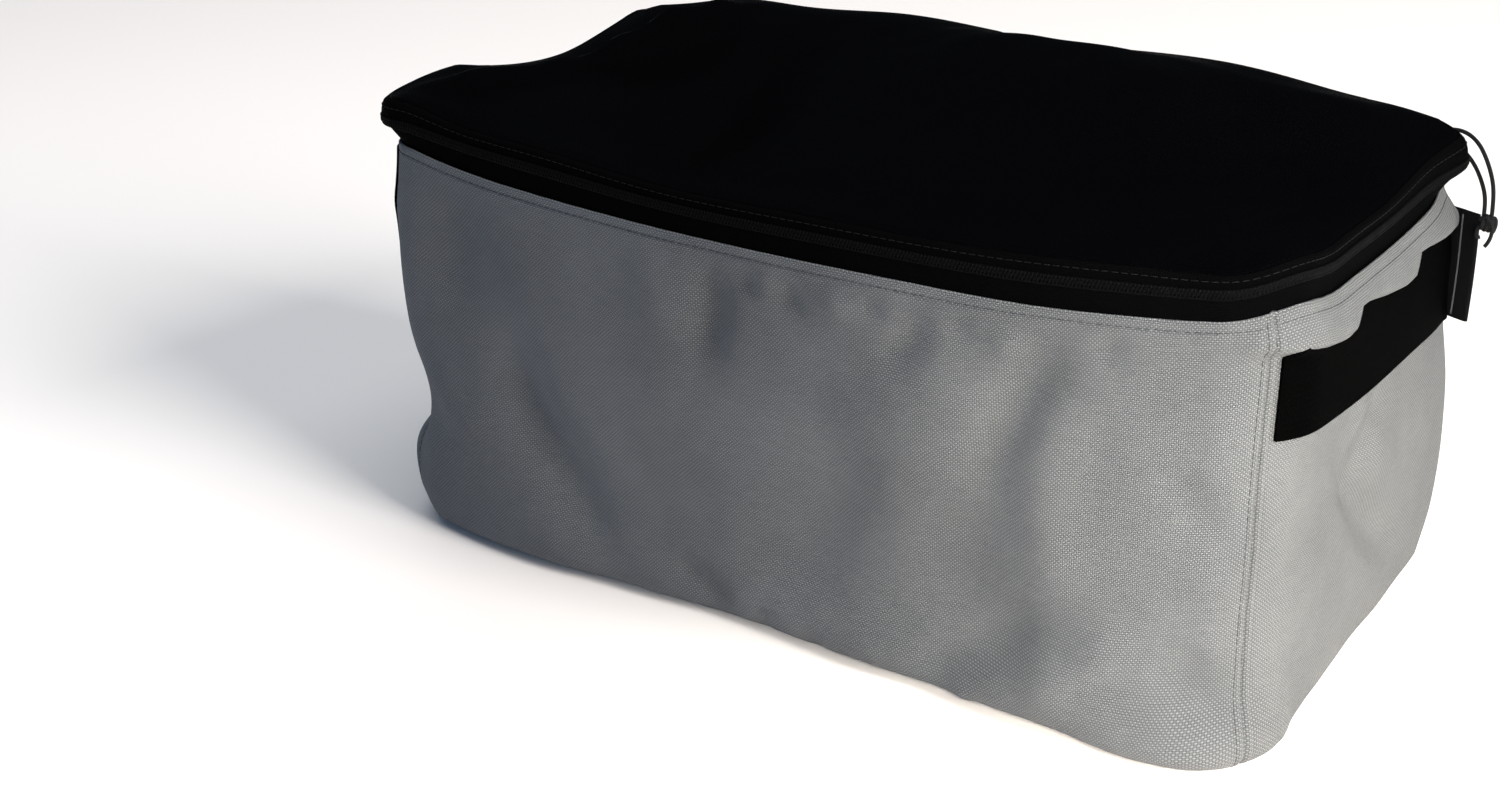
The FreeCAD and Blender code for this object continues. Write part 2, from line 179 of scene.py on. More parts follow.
# Each corner seam is at the middle of its corner's arc, which is cut back by this much.
ARC_CUT = 1 - math.sqrt(0.5)
REAR_CUT = REAR_ROUND * ARC_CUT + 0.1 * MM
FRONT_CUT = FRONT_ROUND * ARC_CUT + 0.1 * MM
SEAM_REAR_LEFT = length_at(lambda p: p[0] < REAR_CUT - HALF_LENGTH)
SEAM_FRONT_LEFT = length_at(lambda p: p[0] < 0 and p[1] < FRONT_CUT - HALF_WIDTH)
SEAM_FRONT_RIGHT = length_at(lambda p: p[0] > HALF_LENGTH - FRONT_CUT)
SEAM_REAR_RIGHT = length_at(lambda p: p[0] > 0 and p[1] > HALF_WIDTH - REAR_CUT)
MIDDLES = {
    "left": (SEAM_REAR_LEFT + SEAM_FRONT_LEFT) / 2,
    "front": (SEAM_FRONT_LEFT + SEAM_FRONT_RIGHT) / 2,
    "right": (SEAM_FRONT_RIGHT + SEAM_REAR_RIGHT) / 2,
}


def from_middle(along, face):
    """Distance from the middle of a face, in millimetres."""
    return (along - MIDDLES[face]) / MM


def plan_at(along, share):
    """Plan points and outward normals at distances along, between the floor (0) and rim (1)."""
    result = []
    for low, high in ((FLOOR_PLAN, RIM_PLAN), (FLOOR_NORMALS, RIM_NORMALS)):
        a = np.stack([np.interp(along, PLAN_LENGTHS, low[:, i]) for i in (0, 1)], -1)
        b = np.stack([np.interp(along, PLAN_LENGTHS, high[:, i]) for i in (0, 1)], -1)
        result.append(a + (b - a) * share[..., None])
    normal = result[1] / np.linalg.norm(result[1], axis=-1, keepdims=True)
    return result[0], normal


# ---- folds and bulges, in millimetres --------------------------------------------------

CREASE_FADE = 0.35  # share of a crease's length over which each end dies away
CREASE_END = 0.15  # share of its height that is left there
RIPPLE_WAVES = 24
FOLD_DEPTH = 1.7  # how much deeper the walls' creases are than their listed heights
FACE_FADE = 40  # distance past a face's end over which its folds die away
HELD_BAND = 26  # distance below the rim in which the rim holds the cloth flat


def blob(u, v, middle_u, middle_v, reach_u, reach_v, height):
    """A soft swelling."""
    return height * np.exp(-(((u - middle_u) / reach_u) ** 2) - ((v - middle_v) / reach_v) ** 2)


def crease(u, v, route, width, height):
    """A soft ridge or valley along a route, dying away at both ends."""
    route = np.array(route, float)
    total = lengths_along(route)
    best = np.full(u.shape, 1e9)
    place = np.zeros(u.shape)
    for start, finish, walked in zip(route, route[1:], total):
        way = finish - start
        span = np.linalg.norm(way)
        t = unit(((u - start[0]) * way[0] + (v - start[1]) * way[1]) / span**2)
        away = np.hypot(u - start[0] - t * way[0], v - start[1] - t * way[1])
        nearer = away < best
        best = np.where(nearer, away, best)
        place = np.where(nearer, (walked + t * span) / total[-1], place)
    ends = ease(np.minimum(place, 1 - place) / CREASE_FADE)
    return height * (CREASE_END + (1 - CREASE_END) * ends) * np.exp(-((best / width) ** 2))


def ripples(u, v, seed, scale, height):
    """Faint uneven undulation from a few crossing waves."""
    chance = np.random.default_rng(seed)
    total = np.zeros(u.shape)
    for _ in range(RIPPLE_WAVES):
        heading = chance.uniform(0, TAU)
        number = chance.uniform(0.5, 1.6) * TAU / scale
        phase = chance.uniform(0, TAU)
        total += np.sin((u * math.cos(heading) + v * math.sin(heading)) * number + phase)
    return height * total / math.sqrt(RIPPLE_WAVES)


def folded(u, v, swellings, creases, depth=1.0):
    """The sum of some swellings and creases."""
    total = np.zeros(u.shape)
    for item in swellings:
        total += blob(u, v, *item)
    for route, width, height in creases:
        total += crease(u, v, route, width, height * depth)
    return total


# Each swelling is (place along the face, height above the floor, two reaches, height), and each
# crease is (route, width, height).
FRONT_SWELLINGS = (
    (160, 12, 90, 26, 13),
    (206, 6, 38, 24, 11),
    (60, 10, 90, 18, 5),
    (85, 130, 42, 55, 6),
    (-55, 175, 16, 34, 3.5),
    (-115, 20, 50, 26, 4),
    (185, 80, 50, 60, 2.5),
    (-248, 72, 42, 26, -6),
    (-262, 140, 30, 60, -10),
    (-240, 28, 40, 18, -6),
    (-252, 4, 46, 14, -12),
    (-262, 38, 24, 20, 5),
    (-165, 45, 40, 50, 3),
    (20, 60, 60, 40, -3),
    (-130, 110, 60, 60, 2),
)
FRONT_CREASES = (
    (((-22, 205), (-24, 175), (-34, 140)), 10, -4.5),
    (((-2, 204), (-6, 186)), 6, -2.2),
    (((22, 204), (16, 182)), 7, -2.6),
    (((45, 203), (42, 184)), 8, 2.0),
    (((64, 203), (60, 190)), 5, -1.5),
    (((88, 202), (78, 178), (62, 165)), 8, -2.8),
    (((105, 202), (103, 188)), 6, -1.6),
    (((152, 203), (140, 180), (122, 140), (112, 95)), 12, -5.0),
    (((128, 200), (122, 182)), 6, 1.8),
    (((158, 190), (148, 150), (146, 107), (148, 80), (148, 52)), 14, 3.2),
    (((112, 120), (108, 82), (108, 56), (92, 30)), 22, -5.2),
    (((172, 203), (170, 188)), 6, -2.0),
    (((-156, 150), (-140, 95), (-112, 52), (-88, 8)), 16, -4.5),
    (((-178, 205), (-182, 160), (-188, 130)), 18, -2.5),
    (((30, 130), (40, 90), (22, 50), (-25, 22)), 20, -3.2),
    (((-58, 30), (-40, 22), (-20, 8)), 9, -2.6),
    (((150, 62), (126, 38), (98, 20), (72, 12)), 10, -5.0),
    (((196, 60), (166, 38), (134, 16)), 12, 4.6),
    (((205, 58), (222, 36), (240, 18)), 12, -3.2),
    (((196, 146), (216, 122), (226, 108)), 9, -1.8),
    (((-8, 14), (4, 4)), 6, -2.0),
    (((30, 12), (24, 2)), 5, -1.6),
    (((108, 12), (116, 2)), 5, 1.6),
    (((-215, 100), (-190, 78), (-160, 70)), 12, 2.0),
)
RIGHT_SWELLINGS = (
    (0, 60, 70, 60, 4),
    (0, 172, 90, 16, -2),
    (104, 84, 44, 58, 9),
    (-60, 20, 60, 22, 4),
    (60, 30, 60, 24, 5),
)
RIGHT_CREASES = (
    (((-44, 142), (-18, 104), (12, 72), (50, 44), (84, 20)), 13, -4.6),
    (((30, 140), (4, 118), (-14, 104)), 11, -2.8),
    (((-6, 140), (24, 104), (60, 78)), 12, 2.0),
    (((-20, 150), (-14, 128)), 9, -1.2),
    (((-100, 60), (-70, 78), (-40, 84)), 14, 1.4),
)
LEFT_SWELLINGS = (
    (60, 72, 60, 26, -12),
    (0, 130, 80, 60, -4),
    (-40, 190, 50, 18, 4),
    (0, 30, 90, 24, 4),
    (115, 70, 24, 24, -8),
)
LEFT_CREASES = (
    (((-70, 190), (-20, 120), (40, 80), (100, 70)), 14, -4),
    (((80, 190), (60, 140), (20, 110)), 12, -3),
    (((-80, 60), (-30, 34), (10, 10)), 12, -3),
)
BACK_SWELLINGS = (
    (0, 120, 160, 70, 4),
    (-130, 40, 80, 40, 4),
    (120, 150, 60, 50, -4),
    (150, 40, 60, 34, 4),
    (-60, 160, 50, 40, -3),
)
BACK_CREASES = (
    (((-190, 205), (-140, 130), (-100, 60), (-40, 12)), 18, -5),
    (((150, 200), (100, 120), (110, 60), (70, 10)), 14, -4),
    (((20, 205), (10, 160), (-30, 120)), 12, -3.5),
    (((60, 204), (55, 184)), 7, -2.4),
    (((-60, 204), (-64, 182)), 8, -2.2),
    (((-120, 204), (-112, 186)), 6, -1.8),
    (((185, 140), (150, 100), (130, 50)), 14, 3),
    (((-40, 50), (-10, 26), (30, 8)), 10, -3),
)

# Each face is (name, swellings, creases, distance from its middle to its end).
FACES = (
    ("front", FRONT_SWELLINGS, FRONT_CREASES, 262),
    ("right", RIGHT_SWELLINGS, RIGHT_CREASES, 125),
    ("left", LEFT_SWELLINGS, LEFT_CREASES, 125),
    ("back", BACK_SWELLINGS, BACK_CREASES, 240),
)

# Lower lip of the fabric that hangs over the right handle's top edge: place along the end, height.
OVERHANG_LIP = (
    (-120, 194), (-106, 190), (-84, 188), (-64, 187), (-53, 188), (-41, 195), (-28, 194.5), (-5, 190.5),
    (20, 187), (33, 187), (45, 195.5), (60, 194.5), (80, 191.5), (104, 189), (116, 194),
)
OVERHANG_DEPTH = 9.0
OVERHANG_LIFT = 4
OVERHANG_TOP = 214
OVERHANG_MIDDLE = -6
OVERHANG_REACH = 124


def overhang(u, v):
    """The grey fabric bulging over the right handle."""
    lip = np.interp(u, *zip(*OVERHANG_LIP))
    fall = unit((OVERHANG_TOP - v) / 18)
    ends = unit((OVERHANG_REACH - np.abs(u - OVERHANG_MIDDLE)) / 9)
    return OVERHANG_DEPTH * ease((v - lip + 5) / 8) * np.sqrt(fall) * ends


def wall_push(along, z):
    """How far the grey fabric stands out from the plain box, in metres."""
    v = z / MM
    total = ripples(along / MM, v, 3, 90, 0.7) + ripples(along / MM, v * 0.7, 11, 34, 0.16)
    total += overhang(from_middle(along, "right"), v - OVERHANG_LIFT)
    for face, swellings, creases, reach in FACES:
        if face == "back":
            u = np.where(along > AROUND / 2, along - AROUND, along) / MM
        else:
            u = from_middle(along, face)
        near = unit((reach + FACE_FADE - np.abs(u)) / FACE_FADE)
        total += folded(u, v, swellings, creases, FOLD_DEPTH) * near
    held = unit((RIM / MM - v) / HELD_BAND)
    return total * held * (2 - held) * MM


# ---- the rim and the band's slack ------------------------------------------------------

# Each of these is (face, place from its middle, reach, height) in millimetres.
RIM_DIPS = (
    ("front", 140, 55, 2.2),
    ("front", -225, 40, -2.5),
    ("front", 252, 25, -7.5),
    ("right", -84, 30, 2.8),
)
RIM_PUSHES = (
    ("left", -16, 55, -5),
    ("front", -262, 34, -12.5),
    ("front", 60, 120, 2),
    ("right", 112, 24, -5),
)
BAND_LEANS = (
    ("left", -30, 60, 6),
    ("front", -262, 36, -14),
    ("right", 112, 28, -9),
)
BAND_BULGES = (
    ("front", -264, 44, 7.5),
    ("right", 112, 30, 7),
)
BAND_CORNER_DIPS = (("front", -250, 26, 4),)

# Humps along the lid's rear edge: place from its middle, reach and height in millimetres.
REAR_HUMPS = ((-57, 42, 3.0), (140, 60, 3.0), (-160, 30, 3.0), (214, 22, 1.5))
BAND_DROOP = 0.36  # share of its height that the band's upper half loses along the front


def on_rear(along):
    """1 on the rear edge, where the slider's track is level, fading to 0 round the rear corners."""
    past_middle = np.maximum(from_middle(along, "right"), -from_middle(along, "left"))
    return unit((past_middle - 112) / 12)


def hills(along, items):
    """Soft rises round the outline, in metres. Those of the right end stop at the rear edge."""
    total = np.zeros(np.shape(along))
    for face, place, reach, height in items:
        rise = hill(from_middle(along, face), place, reach, height)
        total += rise * (1 - on_rear(along)) if face == "right" else rise
    return total * MM


def rim_level(along):
    """Height of the grey rim: it sags between the corners."""
    sag = 7.0 * arch((from_middle(along, "front") - 25) / 240, 2.2)
    sag += 6.2 * arch((from_middle(along, "right") - 42) / 115) * (1 - on_rear(along))
    sag += 12.5 * arch((from_middle(along, "left") + 45) / 95)
    return RIM - sag * MM - hills(along, RIM_DIPS)


def rear_hump(along):
    """Rise of the lid's rear edge above the band, in metres."""
    x = np.interp(along, PLAN_LENGTHS, RIM_PLAN[:, 0]) / MM
    y = np.interp(along, PLAN_LENGTHS, RIM_PLAN[:, 1])
    rise = 11.6 * arch((x - 5) / 230, 3.2)
    for hump in REAR_HUMPS:
        rise = rise + hill(x, *hump)
    return rise * unit((y - HALF_WIDTH + REAR_ROUND) / REAR_ROUND) * MM


# ---- meshes ----------------------------------------------------------------------------

def new_object(name, vertices, faces, material, smooth=True):
    """A mesh object with one material."""
    mesh = bpy.data.meshes.new(name)
    mesh.from_pydata([tuple(v) for v in vertices], [], [tuple(f) for f in faces])
    mesh.update()
    made = bpy.data.objects.new(name, mesh)
    bpy.context.scene.collection.objects.link(made)
    mesh.materials.append(material)
    if smooth:
        mesh.shade_smooth()
    return made


def grid_faces(rows, columns, closed=False):
    """Quads between the points of a grid, row by row."""
    faces = []
    for i in range(rows - 1):
        for j in range(columns if closed else columns - 1):
            k = (j + 1) % columns
            faces.append((i * columns + j, i * columns + k, (i + 1) * columns + k, (i + 1) * columns + j))
    return faces


def add_uv(made, uv):
    """A UV map in metres, so that a weave keeps its real scale."""
    layer = made.data.uv_layers.new(name="cloth")
    corners = np.zeros(len(made.data.loops), int)
    made.data.loops.foreach_get("vertex_index", corners)
    layer.data.foreach_set("uv", np.asarray(uv, np.float32)[corners].ravel())


def grid_object(name, points, uv, material, closed=False):
    """A smooth sheet from a grid of points (rows, columns, 3) with its UVs."""
    rows, columns = points.shape[:2]
    faces = grid_faces(rows, columns, closed)
    made = new_object(name, points.reshape(-1, 3), faces, material)
    add_uv(made, uv.reshape(-1, 2))
    return made


def thicken(made, thickness, inner=None, offset=-1.0):
    """Real thickness for a sheet, with another material on its inner side if given."""
    modifier = made.modifiers.new("thickness", "SOLIDIFY")
    modifier.thickness = thickness
    modifier.offset = offset
    modifier.use_even_offset = False
    if inner is not None:
        made.data.materials.append(inner)
        modifier.material_offset = 1
    return made


def attach(made, body, node=None):
    """Rides a piece on a body and hides the CAD node that it stands for, if any."""
    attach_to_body(made, body)
    if node:
        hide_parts(node)
    return made


def merged(parts):
    """One list of points and one of faces from many small parts."""
    points, faces, count = [], [], 0
    for part_points, part_faces in parts:
        points.append(part_points)
        faces += [tuple(i + count for i in face) for face in part_faces]
        count += len(part_points)
    return np.concatenate(points), faces


CAPSULE_ROWS = 6


def capsule(length, radius, around):
    """A capsule along X, centred on the origin."""
    rows = CAPSULE_ROWS
    angle = np.linspace(0, math.pi, rows)
    x = -np.cos(angle) * radius
    x = np.where(x < 0, x - length / 2 + radius, x + length / 2 - radius)
    r = np.maximum(np.sin(angle), 0.02) * radius
    turn = np.arange(around) * TAU / around
    across, upright = (r[:, None] * swing for swing in (np.cos(turn), np.sin(turn)))
    grid = np.stack([np.repeat(x[:, None], around, 1), across, upright], -1)
    faces = grid_faces(rows, around, True)
    faces.append(tuple(range(around))[::-1])
    faces.append(tuple(range((rows - 1) * around, rows * around)))
    return grid.reshape(-1, 3), faces


def placed(shape, place, way, up):
    """A small shape moved to a place, its X turned along way and its Z towards up."""
    x = way / np.linalg.norm(way)
    y = np.cross(up, x)
    y = y / np.linalg.norm(y)
    z = np.cross(x, y)
    points, faces = shape
    return place + points @ np.stack([x, y, z]), faces


def tube(route, radius, around=12):
    """A round tube along a route, with a twist-free frame."""
    route = np.asarray(route, float)
    count = len(route)
    tangent = np.gradient(route, axis=0)
    tangent /= np.linalg.norm(tangent, axis=1, keepdims=True)
    side = np.cross(tangent[0], (0.3, 0.2, 1.0))
    rows = []
    turn = np.arange(around) * TAU / around
    for point, way in zip(route, tangent):
        side = side - way * np.dot(side, way)
        side /= np.linalg.norm(side)
        other = np.cross(way, side)
        rows.append(point + radius * (np.cos(turn)[:, None] * side + np.sin(turn)[:, None] * other))
    faces = grid_faces(count, around, True)
    faces.append(tuple(range(around))[::-1])
    faces.append(tuple(range((count - 1) * around, count * around)))
    return np.concatenate(rows), faces


def fill_ring(ring, ring_heights, step, heights):
    """Points and triangles that fill a plan ring with an even mesh."""
    low, high = ring.min(0), ring.max(0)
    x, y = np.meshgrid(np.arange(low[0], high[0], step), np.arange(low[1], high[1], step))
    x = x + (np.arange(x.shape[0]) % 2)[:, None] * step / 2
    inner = np.stack([x.ravel(), y.ravel()], 1)
    inner = inner[inside_ring(inner, ring, step * 0.6)]
    flat = np.concatenate([ring, inner])
    count = len(ring)
    edges = [(i, (i + 1) % count) for i in range(count)]
    found = delaunay_2d_cdt([Vector(p) for p in flat], edges, [], 1, 1e-7)
    plan = np.array([tuple(p) for p in found[0]])
    z = np.empty(len(plan))
    first = np.array([original[0] if original else -1 for original in found[3]])
    on_ring = (first >= 0) & (first < count)
    z[on_ring] = ring_heights[first[on_ring]]
    z[~on_ring] = heights(plan[~on_ring, 0], plan[~on_ring, 1])
    return np.column_stack([plan, z]), [tuple(face) for face in found[2]]


def inside_ring(points, ring, margin):
    """Which points lie inside a ring and at least margin from its points."""
    inside = np.zeros(len(points), bool)
    following = np.roll(ring, -1, 0)
    for start, finish in zip(ring, following):
        crosses = (start[1] > points[:, 1]) != (finish[1] > points[:, 1])
        rise = finish[1] - start[1]
        if abs(rise) < 1e-12:
            continue
        x = start[0] + (points[:, 1] - start[1]) * (finish[0] - start[0]) / rise
        inside ^= crosses & (points[:, 0] < x)
    nearest = np.full(len(points), 1e9)
    for place in ring:
        nearest = np.minimum(nearest, np.hypot(points[:, 0] - place[0], points[:, 1] - place[1]))
    return inside & (nearest > margin)


# ---- the grey walls --------------------------------------------------------------------

HEM = 4.8 * MM  # from the rim down to its row of stitching
SEAM_ROW = 3.2 * MM  # from a corner seam to the row of stitching beside it
WALL_STEP = 3.4 * MM
LIP_WALL_STEP = 2.0 * MM
LIP_DEPTHS = np.arange(8, 44, 1.1) * MM  # finer rows where the cloth hangs over the right handle
FINE_STEPS = (0.25, 0.6, 1.1, 1.7, 2.4, 3.2)
FLOOR_TURN = FLOOR_ROUND * math.pi / 2
BASE_SEAM = RIM - FLOOR_ROUND + FLOOR_TURN  # depth at which a wall has turned in to the base
SEAM_LAP = 12 * MM  # how far the walls run on under the base
REAR_LAP = REAR_ROUND - 6.5 * MM  # how far they may turn in at a tight rear corner
LAP_GROWTH = 0.75  # and how much further for each metre away from it
FOOT_FOLDS = 0.6  # where the walls stand, their folds are shallower
FOOT_REACH = 14 * MM
RIM_REACH = 40 * MM  # how far below the rim its own bulges reach
PANEL_CLOTH = 0.6 * FABRIC


def turn_limit(along):
    """How far the lower edge may turn in before it would cross itself at a tight rear corner."""
    away = np.minimum(np.abs(along - SEAM_REAR_LEFT), np.abs(along - SEAM_REAR_RIGHT))
    return REAR_LAP + LAP_GROWTH * away


def wall_points(along, depth, extra=0.0):
    """Points on the grey wall. Depth runs down from the rim, round the floor edge and in."""
    top = rim_level(along)
    drop = top - FLOOR_ROUND
    z = np.clip(top - depth, FLOOR_ROUND, None)
    angle = unit((depth - drop) / FLOOR_TURN) * math.pi / 2
    z = z - FLOOR_ROUND * np.sin(angle)
    inwards = FLOOR_ROUND * (1 - np.cos(angle)) + np.clip(depth - drop - FLOOR_TURN, 0, None)
    inwards = turn_limit(along) * np.tanh(inwards / turn_limit(along))
    share = unit(z / RIM)
    plan, normal = plan_at(along, share)
    low = FOOT_FOLDS + (1 - FOOT_FOLDS) * unit(z / FOOT_REACH)
    near_rim = ease(1 - (top - z) / RIM_REACH)
    push = wall_push(along, z + (RIM - top) * share) * low * (2 - low)
    push = push + hills(along, RIM_PUSHES) * near_rim - inwards + extra
    xy = plan + normal * push[..., None]
    return np.concatenate([xy, z[..., None]], -1)


def spaced(start, finish, step, fine=()):
    """Values from start to finish, closer together round the fine places."""
    values = list(np.arange(start, finish, step)) + [finish]
    for place in fine:
        values.append(place)
        values += [place + side * away * MM for away in FINE_STEPS for side in (-1, 1)]
    kept = sorted(x for x in set(values) if start <= x <= finish)
    tidy = [kept[0]]
    for value in kept[1:]:
        if value - tidy[-1] > 0.2 * MM:
            tidy.append(value)
    tidy[-1] = finish
    return np.array(tidy)


def wall_depths(lip=False):
    """Depths down the wall: fine at the rim and its stitching, and where fabric overhangs a handle."""
    values = spaced(0, BASE_SEAM + SEAM_LAP, WALL_STEP, (0, HEM))
    if lip:
        values = np.unique(np.concatenate([values, LIP_DEPTHS]))
        values = values[np.concatenate([[True], np.diff(values) > 0.3 * MM])]
    return values


def seam_turn(s, start, finish):
    """The cloth turned in along both of a panel's seams."""
    return hill(s, start, 0.9 * MM, -1.5 * MM) + hill(s, finish, 0.9 * MM, -1.5 * MM)


def stitch_dent(s, d, start, finish):
    """The dents under a panel's rows of stitching, and its rolled rim."""
    rows = hill(s, start + SEAM_ROW, 0.7 * MM, -0.3 * MM) + hill(s, finish - SEAM_ROW, 0.7 * MM, -0.3 * MM)
    return hem_dent(d) + rows + hill(d, 0, 0.6 * MM, -0.8 * MM)


def hem_dent(d):
    """The dent under the row of stitching along the rim."""
    return hill(d, HEM, 0.7 * MM, -0.35 * MM)


def panel_object(name, node, points, uv, materials):
    """A grey panel, lined on its inner side."""
    made = grid_object(name, points, uv, materials[0])
    thicken(made, PANEL_CLOTH, materials[1])
    attach(made, "box", node)


def build_panel(name, node, start, finish, materials):
    """One grey panel between two corner seams, turned in along both seams and the rim."""
    lip = node == "right_end_panel"
    fine = (start + SEAM_ROW, finish - SEAM_ROW, start, finish)
    along = spaced(start, finish, LIP_WALL_STEP if lip else WALL_STEP, fine)
    s, d = np.meshgrid(along, wall_depths(lip), indexing="ij")
    points = wall_points(s, d, seam_turn(s, start, finish) + stitch_dent(s, d, start, finish))
    panel_object(name, node, points, np.stack([s, -d], -1), materials)


def build_back(materials):
    """The back panel, which crosses the outline's start, so it is built from two stretches."""
    first = spaced(SEAM_REAR_RIGHT, AROUND, WALL_STEP, (SEAM_REAR_RIGHT, SEAM_REAR_RIGHT + SEAM_ROW))
    last = spaced(0, SEAM_REAR_LEFT, WALL_STEP, (SEAM_REAR_LEFT, SEAM_REAR_LEFT - SEAM_ROW))[1:]
    along = np.concatenate([first, last + AROUND])
    s, d = np.meshgrid(along, wall_depths(), indexing="ij")
    extra = seam_turn(s, along[0], along[-1]) + hem_dent(d)
    points = wall_points(np.where(s > AROUND, s - AROUND, s), d, extra)
    panel_object("back_cloth", "back_panel", points, np.stack([s, -d], -1), materials)


def build_walls(grey, lining):
    """The four grey panels."""
    pair = (grey, lining)
    build_panel("left_side_cloth", "left_end_panel", SEAM_REAR_LEFT, SEAM_FRONT_LEFT, pair)
    build_panel("front_cloth", "front_panel", SEAM_FRONT_LEFT, SEAM_FRONT_RIGHT, pair)
    build_panel("right_side_cloth", "right_end_panel", SEAM_FRONT_RIGHT, SEAM_REAR_RIGHT, pair)
    build_back(pair)


BASE_LEVEL = 0.9 * MM
RING_STEP = 4 * MM
BASE_STEP = 9 * MM


def build_base(cloth, lining):
    """The base panel, a flat piece that ends at the base seam just inside the walls' lower edge."""
    along = np.arange(0, AROUND, RING_STEP)
    depth = np.full(len(along), wall_depths()[-1] - 2 * MM)
    ring = wall_points(along, depth)[:, :2]
    level = np.full(len(ring), BASE_LEVEL)
    points, faces = fill_ring(ring, level, BASE_STEP, lambda x, y: np.full(len(x), BASE_LEVEL))
    made = new_object("base_cloth", points, [face[::-1] for face in faces], cloth)
    add_uv(made, points[:, :2])
    thicken(made, FABRIC, lining)
    attach(made, "box", "base_panel")


# ---- the zip band ----------------------------------------------------------------------

TAPE_INSET = 2.2 * MM
TAPE = 0.8 * MM
TAPE_STEP = 3 * MM
TAPE_FOOT = -6 * MM  # how far the lower tape and the hinge run down inside the rim
TAPE_HEAD = BAND + 0.8 * MM
TAPE_ROLL = 2.2 * MM  # how far the upper tape's edge rolls in
TAPE_LINES = 9  # rows of points up a tape, between its two edges
EDGE_BEAD = 0.5 * MM
COIL_GAP = 1.4 * MM  # from the zip line to each tape's free edge
TOOTH_PITCH = 1.7 * MM
TOOTH_LENGTH = 3.4 * MM
TOOTH_RADIUS = 0.62 * MM
TOOTH_SLANT = 0.18
CORE_RADIUS = 0.75 * MM
HUMP_START = 0.6  # the lid's humps lift only what is above this share of the band's height
ZIP_LAST = AROUND - ZIP_END  # the zip starts and ends on the back, where the hinge lies between


def band_points(along, rise, inset):
    """Points on the band above the rim, at a rise above the rim's own level."""
    share = unit(rise / BAND)
    top = unit((rise / BAND - HUMP_START) / (1 - HUMP_START))
    plan, normal = plan_at(along, np.ones_like(along))
    push = hills(along, RIM_PUSHES) - inset - hills(along, BAND_LEANS) * share
    push = push + hills(along, BAND_BULGES) * np.sin(share * math.pi)
    xy = plan + normal * push[..., None]
    lower_half = np.minimum(rise, BAND / 2)
    upper_half = (rise - lower_half) * (1 - BAND_DROOP * band_droop(along))
    z = rim_level(along) + lower_half + upper_half + rear_hump(along) * ease(top)
    z = z - hills(along, BAND_CORNER_DIPS) * ease(share)
    z = z + band_wave(along) * (share + (top - share) * on_rear(along))
    return np.concatenate([xy, z[..., None]], -1)


def band_droop(along):
    """Where the band's upper half is shortest: 1 along the front and right, 0 behind and at the left."""
    front = from_middle(along, "front")
    return ease(np.minimum((front + 235) / 70, (440 - front) / 90))


def band_wave(along):
    """Slight unevenness of the band's height."""
    a = along / MM
    return (0.9 * np.sin(a / 41) + 0.6 * np.sin(a / 23 + 1.3)) * MM


def band_line(along, rise, inset):
    """Points on the band along one level."""
    return band_points(along, np.full_like(along, rise), inset)


def turned_grid(name, points, s, r, material):
    """A sheet on the band whose outer side faces out."""
    return grid_object(name, points[:, ::-1], np.stack([s, r], -1)[:, ::-1], material)


def build_tape(name, node, body, edges, seam_row, material):
    """One zip tape, with a rounded edge bead, riding one body."""
    low, high = edges
    inner_lines = np.linspace(low + EDGE_BEAD, high - EDGE_BEAD, TAPE_LINES)
    along = spaced(ZIP_END, ZIP_LAST, TAPE_STEP)
    s, r = np.meshgrid(along, [low, *inner_lines, high], indexing="ij")
    groove = hill(r, seam_row, 0.5 * MM, 0.25 * MM)
    rolled = TAPE_ROLL * unit((r - BAND + 1.5 * MM) / (2.3 * MM)) ** 2
    made = turned_grid(name, band_points(s, r, TAPE_INSET + groove + rolled), s, r, material)
    thicken(made, TAPE)
    attach(made, body, node)


def build_tapes(material):
    """The zip's two tapes."""
    lower = (TAPE_FOOT, BAND / 2 - COIL_GAP)
    upper = (BAND / 2 + COIL_GAP, TAPE_HEAD)
    build_tape("tape_lower", "lower_zip_tape", "box", lower, 1 * MM, material)
    build_tape("tape_upper", "upper_zip_tape", "lid", upper, BAND - 4 * MM, material)


def build_coil(name, node, body, side, material):
    """One half of the zip coil: rounded teeth across the zip line, and the core they are sewn over."""
    along = np.arange(ZIP_END + 0.5 * TOOTH_PITCH * (side > 0), ZIP_LAST, TOOTH_PITCH)
    rise = BAND / 2 + side * 0.75 * MM
    inset = TAPE_INSET - 0.7 * MM
    tooth = capsule(TOOTH_LENGTH, TOOTH_RADIUS, 7)
    parts = []
    for here, there in zip(band_line(along, rise, inset), band_line(along + 1 * MM, rise, inset)):
        tangent = there - here
        up = np.array([0.0, 0.0, 1.0]) + TOOTH_SLANT * tangent / np.linalg.norm(tangent)
        parts.append(placed(tooth, here, up, np.cross(tangent, up)))
    core = np.arange(ZIP_END, ZIP_LAST, TAPE_STEP)
    core_line = band_line(core, BAND / 2 + side * 2.1 * MM, TAPE_INSET - 0.3 * MM)
    parts.append(tube(core_line, CORE_RADIUS, 7))
    attach(new_object(name, *merged(parts), material), body, node)


def build_zip_stops(material):
    """A small pinched stop round each end of the zip."""
    shape = capsule(2.6 * MM, 0.8 * MM, 8)
    for name, node, place in (
        ("left_stop", "zip_end_stop_left", ZIP_END - 1 * MM),
        ("right_stop", "zip_end_stop_right", ZIP_LAST + 1 * MM),
    ):
        here = band_line(np.array([place]), BAND / 2, TAPE_INSET - 0.5 * MM)[0]
        lifts = [np.array([0, 0, lift * MM]) for lift in (-1.3, 0, 1.3)]
        parts = [placed(shape, here + lift, np.array([1.0, 0, 0]), np.array([0, 0, 1.0])) for lift in lifts]
        attach(new_object(name, *merged(parts), material), "box", node)


